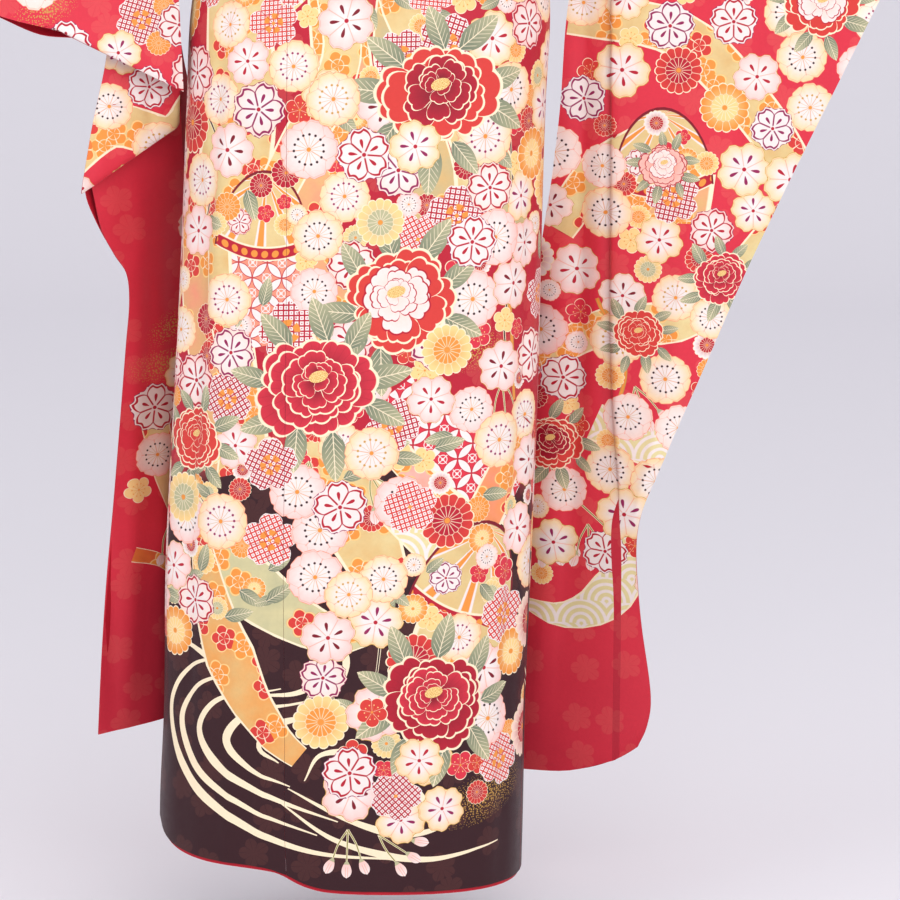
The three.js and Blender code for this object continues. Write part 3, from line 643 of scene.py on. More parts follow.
@dataclass
class Motif:
    """One motif of the print.

    Attributes:
        kind: What it is.
        x: Place across, in mm.
        z: Place up, in mm.
        size: Its radius or length, in mm.
        turn: How far it is turned, in radians.
        tint: Its main dye.
        tint_b: Its second dye.
        wide: Width as a share of the length, where the kind has one.
    """

    kind: Kind
    x: float
    z: float
    size: float
    turn: float = 0.0
    tint: Dye = CREAM
    tint_b: Dye = CRIMSON
    wide: float = 0.45

    def shape(self) -> Array:
        """The outline at size 1, turned to no side."""
        k = self.kind
        if k in FLOWERS:
            f = FLOWERS[k]
            a = np.linspace(0, 2 * math.pi, f.petals * (6 if f.petals > 8 else 12), endpoint=False)
            return np.stack([np.cos(a), np.sin(a)], 1) * f.profile(a)[:, None]
        if k is Kind.PETAL:
            p = np.linspace(-1, 1, 23)
            r = PetalFinish.profile(p)
            tip = np.stack([np.sin(p * self.wide) * r, np.cos(p * self.wide) * r], 1)
            return np.concatenate([[[0.0, 0.0]], tip])[::-1]
        if k in (Kind.LEAF, Kind.BUD):
            s = np.linspace(-1, 1, 11)
            half = self.wide * (1 - s * s) ** 0.75 * (1 - (0.25 if k is Kind.LEAF else -0.4) * s)
            top = np.stack([s, half], 1)
            return np.concatenate([top[::-1], np.stack([s, -half], 1)[1:-1]])
        if k is Kind.DOME:
            a = np.linspace(0, math.pi, 22)
            x = np.linspace(-1, 1, 14)[1:-1]
            return np.concatenate([np.stack([np.cos(a), np.sin(a) * 1.6], 1),
                                   np.stack([x, -0.26 * (1 - x * x)], 1)])
        a = np.linspace(0, 2 * math.pi, 18, endpoint=False)
        return np.stack([np.cos(a), np.sin(a) * self.wide], 1)

    def outline(self) -> Array:
        """The outline on the cloth, in mm."""
        c, s = math.cos(self.turn), math.sin(self.turn)
        p = self.shape() * self.size
        return np.stack([self.x + p[:, 0] * c - p[:, 1] * s, self.z + p[:, 0] * s + p[:, 1] * c], 1)

    def local(self, places: Array) -> Array:
        """Places on the cloth as places in the motif.

        Args:
            places: Print places in mm.

        Returns:
            Places at size 1, with a number of the motif's own as the third.
        """
        c, s = math.cos(self.turn), math.sin(self.turn)
        d = (places - (self.x, self.z)) / self.size
        own = np.full(len(d), (self.x * 0.137 + self.z * 0.291) % 1)
        return np.stack([d[:, 0] * c + d[:, 1] * s, d[:, 1] * c - d[:, 0] * s,
                         own if self.kind is not Kind.PETAL
                         else np.full(len(d), self.wide)], 1)


@dataclass
class Band(Motif):
    """A long motif that follows a path: a ribbon, a stem, a line of the stream.

    Attributes:
        path: The places it runs through, in mm.
        widths: Its width at the start, the middle and the end, in mm.
    """

    path: tuple[tuple[float, float], ...] = ()
    widths: Triple = (10, 10, 10)

    def course(self) -> tuple[Array, Array, Array]:
        """The middle line, its sideways directions and the length along it."""
        grid = np.array([[(x, z, 0.0) for x, z in self.path]])
        line = finer(grid, 1, max(4.0, max(self.widths) * 0.4))[0, :, :2]
        run = np.gradient(line, axis=0)
        run /= np.linalg.norm(run, axis=1, keepdims=True)
        return line, np.stack([-run[:, 1], run[:, 0]], 1), run_along(line)

    def half(self, share: Array) -> Array:
        """Half the width at each share of the length."""
        return np.interp(share, [0, 0.5, 1], self.widths) / 2

    def outline(self) -> Array:
        """The outline on the cloth, in mm."""
        line, side, length = self.course()
        half = self.half(length / length[-1])[:, None]
        return np.concatenate([line - side * half, (line + side * half)[::-1]])

    def local(self, places: Array) -> Array:
        """Places along the band, across it (-1 to 1) and its own number."""
        line, side, length = self.course()
        near = ((places[:, None] - line[None]) ** 2).sum(-1).argmin(1)
        run = np.stack([side[near, 1], -side[near, 0]], 1)
        d = places - line[near]
        s = length[near] + (d * run).sum(1)
        t = (d * side[near]).sum(1) / np.maximum(self.half(s / length[-1]), 0.3)
        return np.stack([s / max(self.widths), t, np.full(len(s), (self.x * 0.137 + self.z * 0.291) % 1)], 1)


# ------------------------------------------------------------------ finishes
class Pot:
    """A dye pot: one material whose colour is mixed step by step."""

    def __init__(self, name: str) -> None:
        """Open a material.

        Args:
            name: The material's name.
        """
        self.material = bpy.data.materials.new(name)
        self.material.use_nodes = True
        self.tree = self.material.node_tree
        self.tree.nodes.clear()

    def node(self, kind: str, inputs: Sequence = (), **settings) -> bpy.types.Node:
        """A node with its inputs set.

        Args:
            kind: The node's type name.
            inputs: Values or sockets by position; None leaves one as it is.
            **settings: Properties of the node.

        Returns:
            The node.
        """
        n = self.tree.nodes.new(kind)
        for key, value in settings.items():
            setattr(n, key, value)
        for i, value in enumerate(inputs):
            self.join(n.inputs[i], value)
        return n

    def join(self, socket: bpy.types.NodeSocket, value: object) -> None:
        """Sets or links one input."""
        if value is None:
            return
        if isinstance(value, Num):
            value = value.socket
        if isinstance(value, bpy.types.NodeSocket):
            self.tree.links.new(value, socket)
        elif isinstance(value, Dye):
            socket.default_value = (*value.linear, 1)
        else:
            socket.default_value = value

    def math(self, op: str, *args: object, clamp: bool = False) -> "Num":
        """A number worked out from others."""
        return Num(self, self.node("ShaderNodeMath", args, operation=op, use_clamp=clamp).outputs[0])

    def mix(self, share: object, a: object, b: object) -> bpy.types.NodeSocket:
        """A colour the share of the way from a to b."""
        n = self.node("ShaderNodeMix", data_type="RGBA", clamp_factor=True)
        self.join(n.inputs[0], share)
        self.join(n.inputs[6], a)
        self.join(n.inputs[7], b)
        return n.outputs[2]

    def place(self, name: str) -> tuple["Num", "Num", "Num"]:
        """The three numbers that the cloth carries under a name."""
        a = self.node("ShaderNodeAttribute", attribute_name=name)
        s = self.node("ShaderNodeSeparateXYZ", (a.outputs["Vector"],))
        return tuple(Num(self, o) for o in s.outputs)

    def tint(self, name: str) -> bpy.types.NodeSocket:
        """The colour that the cloth carries under a name."""
        return self.node("ShaderNodeAttribute", attribute_name=name).outputs["Color"]

    def vector(self, x: object, y: object, z: object = 0.0) -> bpy.types.NodeSocket:
        """Three numbers as one place."""
        return self.node("ShaderNodeCombineXYZ", (x, y, z)).outputs[0]

    def noise(self, at: bpy.types.NodeSocket, scale: float, detail: float = 2.0) -> "Num":
        """Smooth seeded noise at a place."""
        return Num(self, self.node("ShaderNodeTexNoise", (at, None, scale, detail)).outputs[0])

    def silk(self, colour: object, rough: float = 0.46, sheen: float = 0.25,
             raised: object = None) -> bpy.types.Material:
        """Closes the pot with the cloth's own weave, sheen and unevenness.

        Args:
            colour: The colour mixed so far.
            rough: How dull the surface is.
            sheen: How much light its fibres catch.
            raised: A number that stands up from the cloth.

        Returns:
            The material.
        """
        x, z, _ = self.place("cloth")
        at = self.vector(x, z)
        weave = ((x * 5.2 + z * 1.7).sin() * (z * 5.2).sin() * 0.35 + self.noise(at, 0.55, 3) * 0.9)
        height = weave if raised is None else weave * 0.5 + raised
        bumped = self.node("ShaderNodeBump", (0.22, 0.0006))
        self.join(bumped.inputs["Height"], height)
        uneven = self.noise(at, 0.013, 2) * 0.14 + self.noise(at, 0.3, 1) * 0.08 + 0.89
        shade = self.node("ShaderNodeHueSaturation")
        self.join(shade.inputs["Value"], uneven)
        self.join(shade.inputs["Color"], colour)
        end = self.node("ShaderNodeBsdfPrincipled")
        for key, value in (("Base Color", shade.outputs[0]),
                           ("Roughness", self.noise(at, 0.09, 2) * 0.16 + rough - 0.08),
                           ("Sheen Weight", sheen * 0.5), ("Sheen Roughness", 0.4),
                           ("Specular IOR Level", 0.32), ("Normal", bumped.outputs[0])):
            self.join(end.inputs[key], value)
        out = self.node("ShaderNodeOutputMaterial")
        self.join(out.inputs[0], end.outputs[0])
        return self.material


class Num:
    """A number in a pot, with the usual arithmetic."""

    def __init__(self, pot: Pot, socket: bpy.types.NodeSocket) -> None:
        """Wrap a socket."""
        self.pot, self.socket = pot, socket

    def __add__(self, other: object) -> "Num":
        """Sum."""
        return self.pot.math("ADD", self, other)

    def __sub__(self, other: object) -> "Num":
        """Difference."""
        return self.pot.math("SUBTRACT", self, other)

    def __rsub__(self, other: object) -> "Num":
        """Difference from a plain number."""
        return self.pot.math("SUBTRACT", other, self)

    def __mul__(self, other: object) -> "Num":
        """Product."""
        return self.pot.math("MULTIPLY", self, other)

    def __truediv__(self, other: object) -> "Num":
        """Quotient."""
        return self.pot.math("DIVIDE", self, other)

    __radd__, __rmul__ = __add__, __mul__

    def sin(self) -> "Num":
        """Sine."""
        return self.pot.math("SINE", self)

    def abs(self) -> "Num":
        """Size without its sign."""
        return self.pot.math("ABSOLUTE", self)

    def power(self, p: float) -> "Num":
        """To a power."""
        return self.pot.math("POWER", self, p)

    def part(self) -> "Num":
        """What is left over a whole number."""
        return self.pot.math("FLOORED_MODULO", self, 1.0)

    def below(self, limit: object, soft: float = 0.02) -> "Num":
        """1 below a limit, 0 above it, with a soft edge."""
        gap = self.pot.math("SUBTRACT", limit, self)
        return self.pot.math("MULTIPLY_ADD", gap, 1 / soft, 0.5, clamp=True)

    def above(self, limit: object, soft: float = 0.02) -> "Num":
        """1 above a limit, 0 below it, with a soft edge."""
        return 1.0 - self.below(limit, soft)

    def near(self, middle: float, wide: float, soft: float = 0.02) -> "Num":
        """1 within a width of a middle value."""
        return (self - middle).abs().below(wide, soft)


def polar(pot: Pot, x: Num, y: Num) -> tuple[Num, Num]:
    """Distance from the middle and angle, for a place in a motif."""
    return pot.math("SQRT", x * x + y * y), pot.math("ARCTAN2", y, x)


@dataclass(frozen=True)
class Ground:
    """The dyed ground: red above, plum brown below, with a self-coloured woven flower pattern drawn lighter
    as painted sheen, gold dust, and painted shade where the cloth carries it.

    Attributes:
        plum: Whether the lower part is plum brown.
        dust: Whether this is a drift of gold dust.
    """

    plum: bool = True
    dust: bool = False

    def mix(self, pot: Pot) -> object:
        """The ground's colour.

        Args:
            pot: Where to mix it.

        Returns:
            The colour.
        """
        x, z, painted_shade = pot.place("cloth")
        at = pot.vector(x, z)
        cell = pot.node("ShaderNodeTexVoronoi", (at, None, 0.021), voronoi_dimensions="2D")
        cell.inputs["Randomness"].default_value = 0.7
        there = pot.node("ShaderNodeSeparateXYZ", (cell.outputs["Position"],))
        r, a = polar(pot, (x - Num(pot, there.outputs[0])) * 0.021, (z - Num(pot, there.outputs[1])) * 0.021)
        lobes = (a * 2.5).sin().abs().power(0.6) * 0.13 + 0.2
        veins = (a * 5).sin().abs().below(0.12, 0.1) * r.above(0.07, 0.02) * 0.8
        figure_sheen = r.below(lobes, 0.015) * (1.0 - veins)
        # The skirt's ground is a deeper red than the sleeves'.
        red: object = pot.mix(z.below(-400, 240) * 0.95, RED, CRIMSON) if self.plum else RED
        # The woven flower pattern is real; its lighter coral tone, here and fainter on the plum below, is
        # painted sheen.
        colour: object = pot.mix(figure_sheen * 0.11, red, CORAL)
        if self.plum:
            border = (x * 0.0078 + 0.6).sin() * 58 - x * 0.28 - 972
            border = pot.math("MAXIMUM", border, -1090.0) + pot.noise(at, 0.02) * 70
            colour = pot.mix(z.below(border, 42), colour, pot.mix(figure_sheen * 0.035, PLUM, CORAL))
        if self.dust:
            u, v, _ = pot.place("motif")
            edge, _a = polar(pot, u, v * 2.1)
            dots = pot.node("ShaderNodeTexVoronoi", (at, None, 0.42), voronoi_dimensions="2D")
            thick = 1.0 - edge
            spread = thick * 0.34 + pot.noise(at, 0.06) * 0.2 - 0.02
            speck = Num(pot, dots.outputs["Distance"]).below(spread, 0.05)
            colour = pot.mix(speck * thick.above(0.02, 0.1) * 0.85, colour, GOLD)
        # Painted shade: the colour darkens towards DEEP by the shade value the cloth carries, inside pleats
        # and folds.
        return pot.mix(painted_shade, colour, DEEP)

    def material(self, name: str) -> bpy.types.Material:
        """The finished material."""
        pot = Pot(name)
        return pot.silk(self.mix(pot), 0.5, 0.12)


@dataclass(frozen=True)
class Blossom:
    """A flower seen from above: petals round a middle.

    Attributes:
        petals: How many petals.
        dip: How deep the outline dips between petals.
        notch: How deep the petals' tips are notched.
        line: Dye of the outline.
        line_wide: Width of the outline.
        rib: Dye of the thin lines between petals.
        inner: Size of a second row of petals, 0 for none.
        spots: Whether each petal carries a drop.
        dots: How many stamens, 0 for none.
        kanoko: Whether the petals are filled with tied dots.
        frill: How deep the petals' edges are scalloped.
        heart: Whether the front petals have a thick outline.
        double: How far a second row of petals reaches behind the first, 0 for none.
        round: How round the petals are.
    """

    petals: int
    dip: float
    notch: float
    line: Dye
    line_wide: float
    rib: Dye
    inner: float = 0.0
    spots: bool = False
    dots: int = 0
    kanoko: bool = False
    frill: float = 0.0
    heart: bool = False
    double: float = 0.0
    round: float = 0.7

    def row(self, a: Array) -> Array:
        """How far one row of petals reaches at each angle."""
        c = np.abs(np.cos(a * self.petals / 2))
        tip = np.clip((c - 0.9) / 0.1, 0, 1)
        frill = self.frill * np.abs(np.sin(a * self.petals * 1.5))
        return 1 - self.dip * (1 - c**self.round) - self.notch * tip - frill

    def profile(self, a: Array) -> Array:
        """How far the outline reaches at each angle."""
        return np.maximum(self.row(a), self.row(a + math.pi / self.petals) * self.double)

    def reach(self, pot: Pot, a: Num, turned: float = 0.0) -> Num:
        """The same outline, mixed in a pot.

        Args:
            pot: Where to mix it.
            a: The angle.
            turned: How far the petals are turned.

        Returns:
            How far the outline reaches.
        """
        c = pot.math("COSINE", (a + turned) * (self.petals / 2)).abs()
        tip = pot.math("MULTIPLY_ADD", c, 10.0, -9.0, clamp=True)
        whole = 1.0 - (1.0 - c.power(self.round)) * self.dip - tip * self.notch
        return whole - ((a + turned) * (self.petals * 1.5)).sin().abs() * self.frill if self.frill else whole

    def material(self, name: str) -> bpy.types.Material:
        """The finished material."""
        pot = Pot(name)
        x, y, own = pot.place("motif")
        r, a = polar(pot, x, y)
        step = 2 * math.pi / self.petals
        front = self.reach(pot, a)
        whole = front
        if self.double:
            whole = pot.math("MAXIMUM", front, self.reach(pot, a, step / 2) * self.double)
        rim = r / whole
        fan = ((a / step + 0.5).part() - 0.5) * step
        off = (r * fan.sin()).abs()
        many = self.petals > 8
        fill = pot.tint("tint")
        if many:
            fill = pot.mix(rim.below(0.62, 0.5) * 0.6, fill, pot.tint("tint_b"))
        elif self.double and not self.kanoko:
            fill = pot.mix(rim.above(0.76, 0.62), WHITE, fill)
        if self.kanoko:
            u, v = ((x + y) * 4.3).part() - 0.5, ((x - y) * 4.3).part() - 0.5
            far = pot.math("MAXIMUM", u.abs(), v.abs())
            fill = pot.mix(far.below(0.36, 0.05), fill, WHITE)
            fill = pot.mix(far.below(0.1, 0.05), fill, pot.tint("tint_b"))
            gold = (a * 2.5 + own * 6).sin().abs().above(0.45, 0.2) * r.near(0.27, 0.1, 0.03)
            fill = pot.mix(gold * own.above(0.35, 0.02), fill, ORANGE)
        between = ((a / step).part() - 0.5) * step
        seam = (r * between.sin()).abs().below(0.011 if many else 0.012, 0.02)
        seam = seam * r.above(0.1, 0.05) * r.below(front, 0.02)
        fill = pot.mix(seam * (0.9 if many else 0.75), fill, self.rib)
        if self.inner:
            second = r / self.reach(pot, a, step / 2)
            fill = pot.mix(second.near(self.inner, 0.012, 0.02) * 0.8, fill, self.rib)
            if many:
                fill = pot.mix(second.below(self.inner - 0.02, 0.03), fill, pot.tint("tint_b"))
                ray = (r * fan.sin()).abs().below(0.01, 0.02) * second.below(self.inner, 0.02)
                fill = pot.mix(ray * r.above(0.12, 0.03), fill, self.rib)
        if self.dots:
            part = 2 * math.pi / self.dots
            spoke = (r * (((a / part).part() - 0.5) * part).sin()).abs()
            fill = pot.mix(spoke.below(0.006, 0.014) * r.below(0.42, 0.03) * 0.85, fill, GOLD)
            bead = pot.math("SQRT", (r - 0.47) * (r - 0.47) + spoke * spoke)
            fill = pot.mix(bead.below(0.041, 0.02), fill, pot.tint("tint_b"))
        if self.spots:
            long = (pot.math("COSINE", fan) * r - 0.38) / 0.16
            wide = off / (0.05 + 0.028 * long)
            drop = (long * long + wide * wide).below(1.0, 0.25) * long.abs().below(1.0, 0.1)
            fill = pot.mix(drop, fill, pot.tint("tint_b"))
        fill = pot.mix(r.below(0.1 if many else 0.07, 0.02), fill, CRIMSON if self.spots else ORANGE)
        if self.double and not self.kanoko:
            petal = r / front
            if self.heart:
                split = (r * between.sin()).abs().below(0.03, 0.02) * petal.below(0.9, 0.03)
                split = split * r.above(0.12, 0.05)
                line = pot.math("MAXIMUM", petal.near(0.87, 0.045, 0.02), split)
                fill = pot.mix(line, fill, pot.tint("tint_b"))
            else:
                fill = pot.mix(petal.near(0.93, 0.008, 0.02) * 0.8, fill, self.rib)
        fill = pot.mix(rim.above(1 - self.line_wide, 0.015), fill, self.line)
        return pot.silk(fill, 0.5, 0.2)


SCALLOP = 4.712  # one and a half waves of the rim on each half of a petal


@dataclass(frozen=True)
class PetalFinish:
    """A peony petal: deep at its root, paler outward, with a pale wavy rim."""

    @staticmethod
    def profile(p: Array) -> Array:
        """How far the petal reaches across its width (-1 to 1)."""
        return 1 - 0.3 * p**4 - 0.085 * (1 - np.abs(np.cos(p * SCALLOP)) ** 0.7)

    def material(self, name: str) -> bpy.types.Material:
        """The finished material."""
        pot = Pot(name)
        x, y, wide = pot.place("motif")
        r = pot.math("SQRT", x * x + y * y)
        p = (pot.math("ARCTAN2", x, y) / wide).abs()
        lobes = (p * SCALLOP + math.pi / 2).sin().abs().power(0.7)
        whole = 1.0 - p.power(4) * 0.3 - (1.0 - lobes) * 0.085
        rim = r / whole
        fill = pot.mix((rim - 0.2) * 1.2, pot.tint("tint_b"), pot.tint("tint"))
        vein = ((pot.math("ARCTAN2", x, y) / wide) * 11).sin().abs().below(0.12, 0.2) * rim.above(0.35, 0.4)
        fill = pot.mix(vein * 0.25, fill, pot.tint("tint_b"))
        side = ((1.0 - p) * r * wide).below(0.022, 0.015) * rim.above(0.5, 0.1)
        edge = pot.math("MAXIMUM", rim.above(0.95, 0.015), side)
        light = Num(pot, pot.node("ShaderNodeSeparateColor", (pot.tint("tint"),)).outputs[1])
        return pot.silk(pot.mix(edge, fill, pot.mix(light.above(0.5), CREAM, CRIMSON)), 0.48, 0.22)


@dataclass(frozen=True)
class Small:
    """The small and long motifs: leaves, buds, stems, ribbons, baskets and stream lines.

    Attributes:
        kind: Which of them.
    """

    kind: Kind

    def material(self, name: str) -> bpy.types.Material:
        """The finished material."""
        pot = Pot(name)
        x, y, own = pot.place("motif")
        cx, cz, _ = pot.place("cloth")
        a, b = pot.tint("tint"), pot.tint("tint_b")
        if self.kind is Kind.LEAF:
            side = y.abs()
            fill = pot.mix((x * 0.5 + 0.5), a, b)
            vein = ((x - side * 1.3) * 4.2).part().near(0.5, 0.07, 0.08) * side.below(0.33, 0.05)
            fill = pot.mix(pot.math("MAXIMUM", vein * 0.8, side.below(0.018, 0.02)), fill, CREAM)
        elif self.kind is Kind.BUD:
            fill = pot.mix(x.above(0.2, 1.6), PINK, a)
            fill = pot.mix(y.abs().near(0.12, 0.02, 0.04) * x.above(-0.2, 0.1), fill, CORAL)
            fill = pot.mix(x.below(-0.5, 0.1), fill, b)
        elif self.kind is Kind.STEM:
            fill = pot.mix(y.abs().above(0.55, 0.2), a, b)
        elif self.kind is Kind.HEART:
            r, _ = polar(pot, x, y)
            grain = pot.node("ShaderNodeTexVoronoi", (pot.vector(x, y), None, 8.0), voronoi_dimensions="2D")
            fill = pot.mix(Num(pot, grain.outputs["Distance"]).below(0.34, 0.1), a, b)
        elif self.kind is Kind.STREAM:
            fill = a
        elif self.kind is Kind.DOME:
            r, t = polar(pot, x, y / 1.6)
            fill = pot.mix(pot.noise(pot.vector(cx, cz), 0.03) * 1.2 - 0.2, a, b)
            fan = ((pot.math("ARCTAN2", 1.45 - y, x) * 2.1 + 0.2).part() - 0.5).abs()
            fill = pot.mix(fan.below(0.19, 0.03), fill, WHITE)
            fill = pot.mix(fan.below(0.11, 0.03), fill, ORANGE)
            bead = ((x * 4.5).part() - 0.5).abs()
            rise = y + (1.0 - x * x) * 0.26
            girdle = rise.below(0.27, 0.01)
            fill = pot.mix(girdle, fill, CRIMSON)
            stud = (bead * bead * 0.05 + (rise - 0.14) * (rise - 0.14)).below(0.0052, 0.002)
            fill = pot.mix(girdle * stud, fill, ORANGE)
            braid = pot.math("MAXIMUM", rise.near(0.28, 0.02, 0.01), rise.below(0.03, 0.01))
            fill = pot.mix(braid, fill, CREAM)
            fill = pot.mix(r.above(0.96, 0.01) * y.above(0.0, 0.02), fill, DEEP)
        else:
            fill = pot.mix(pot.noise(pot.vector(cx, cz), 0.035) * 1.6 - 0.4, a, b)
            if self.kind is Kind.SHIPPO:
                p, q = (((cx + cz) / 30).part() - 0.5).abs(), (((cx - cz) / 30).part() - 0.5).abs()
                m, n = pot.math("MAXIMUM", p, q), pot.math("MINIMUM", p, q)
                lens = pot.math("SQRT", (1.0 - m) * (1.0 - m) + n * n)
                r = pot.math("SQRT", p * p + q * q)
                fill = pot.mix(r.near(0.2, 0.02, 0.02), a, WHITE)
                cross = pot.math("MAXIMUM", r.below(0.07, 0.02), n.below(0.02, 0.02) * r.below(0.3, 0.03))
                fill = pot.mix(cross, fill, WHITE)
                fill = pot.mix(lens.below(0.707, 0.02), fill, CRIMSON)
                fill = pot.mix(lens.below(0.67, 0.02), fill, WHITE)
            elif self.kind is Kind.WAVES:
                u, v = cx / 52, cz / 26
                shift = pot.math("FLOOR", v) * 0.5
                p, q = (u + shift).part() - 0.5, v.part()
                arc = pot.math("SQRT", p * p + q * q * 0.25)
                fill = pot.mix((arc * 7).part().near(0.5, 0.22, 0.1), a, WHITE)
            else:
                cell = pot.node("ShaderNodeTexVoronoi", (pot.vector(cx, cz), None, 0.028),
                                voronoi_dimensions="2D")
                spot = pot.node("ShaderNodeSeparateXYZ", (cell.outputs["Position"],))
                r, t = polar(pot, (cx - Num(pot, spot.outputs[0])) * 0.028,
                             (cz - Num(pot, spot.outputs[1])) * 0.028)
                lobe = (t * 2.5).sin().abs() * 0.12 + 0.3
                bloom = r.below(lobe, 0.03)
                pick = Num(pot, pot.node("ShaderNodeSeparateXYZ", (cell.outputs["Color"],)).outputs[0])
                fill = pot.mix(bloom, fill, pot.mix(pick.above(0.62), ORANGE, VERMILION))
                inside = pot.math("MAXIMUM", (t * 2.5).sin().abs().below(0.16, 0.1),
                                  r.near(0.17, 0.008, 0.02))
                fill = pot.mix(bloom * inside, fill, CREAM)
                fill = pot.mix(bloom * (r / lobe).above(0.9, 0.03), fill, STRAW)
            fill = pot.mix(y.abs().above(0.9, 0.03), fill, CREAM)
        return pot.silk(fill, 0.5, 0.2)


@dataclass(frozen=True)
class Lining:
    """Plain crimson lining silk."""

    def material(self, name: str) -> bpy.types.Material:
        """The finished material."""
        return Pot(name).silk(LINING, 0.5, 0.25)


@dataclass(frozen=True)
class Brocade:
    """Gold brocade of the belt: a woven lattice of diamonds with flowers and stitched edges."""

    def material(self, name: str) -> bpy.types.Material:
        """The finished material."""
        pot = Pot(name)
        x, z, _ = pot.place("cloth")
        u, v = (x + z * 1.6) / 34, (x - z * 1.6) / 34
        p, q = u.part() - 0.5, v.part() - 0.5
        far = pot.math("MAXIMUM", p.abs(), q.abs())
        fill = pot.mix(far.above(0.44, 0.03), SAND, CREAM)
        r, t = polar(pot, p, q)
        bloom = r.below((t * 4).sin().abs() * 0.12 + 0.2, 0.03)
        fill = pot.mix(bloom, fill, GOLD)
        fill = pot.mix(bloom * (t * 4).sin().abs().below(0.25, 0.2), fill, CRIMSON)
        fill = pot.mix(r.below(0.07, 0.02), fill, VERMILION)
        thread = (z * 4.4).sin() * 0.5 + 0.5
        stitch = (x / 4).part().below(0.55, 0.1) * 0.6
        return pot.silk(pot.mix(stitch * 0.12, fill, STRAW), 0.4, 0.15,
                        thread * 0.5 + far.below(0.44, 0.05) * 0.8)


FLOWERS: dict[Kind, Blossom] = {
    Kind.DOTTED: Blossom(5, 0.32, 0.07, CORAL, 0.025, CORAL, dots=15, double=0.97, round=1.5),
    Kind.OUTLINED: Blossom(5, 0.4, 0.12, MAGENTA, 0.028, MAGENTA, spots=True, heart=True, double=0.93),
    Kind.SPOTTED: Blossom(5, 0.3, 0.1, GOLD, 0.025, CORAL, spots=True, frill=0.02, double=0.86),
    Kind.KANOKO: Blossom(5, 0.3, 0.08, WHITE, 0.035, CRIMSON, kanoko=True),
    Kind.PLUM: Blossom(5, 0.3, 0.0, CREAM, 0.06, CREAM, dots=10),
    Kind.KIKU: Blossom(16, 0.1, 0.0, CREAM, 0.05, CREAM, inner=0.55),
}
FINISHES: dict[Kind, object] = {
    **FLOWERS,
    Kind.GROUND: Ground(), Kind.DUST: Ground(dust=True), Kind.LINING: Lining(), Kind.PETAL: PetalFinish(),
    **{k: Small(k) for k in (Kind.LEAF, Kind.BUD, Kind.STREAM, Kind.RIBBON, Kind.SHIPPO, Kind.WAVES,
                             Kind.STEM, Kind.DOME, Kind.HEART)},
}


class Dyes:
    """The materials, each made once and shared by every piece."""

    def __init__(self) -> None:
        """Start with none made."""
        self.made: dict[object, bpy.types.Material] = {}

    def get(self, kind: Kind, plum: bool = True) -> bpy.types.Material:
        """The material of a kind of motif.

        Args:
            kind: What the piece of print is.
            plum: Whether the ground turns plum brown below.

        Returns:
            The material.
        """
        key = (kind, plum if kind in (Kind.GROUND, Kind.DUST) else True)
        if key not in self.made:
            finish = FINISHES[kind] if key[1] else Ground(False, kind is Kind.DUST)
            self.made[key] = finish.material(f"print {kind.value}{'' if key[1] else ' red'}")
        return self.made[key]


# ------------------------------------------------------------------ the print's layout
Place = tuple[float, float]


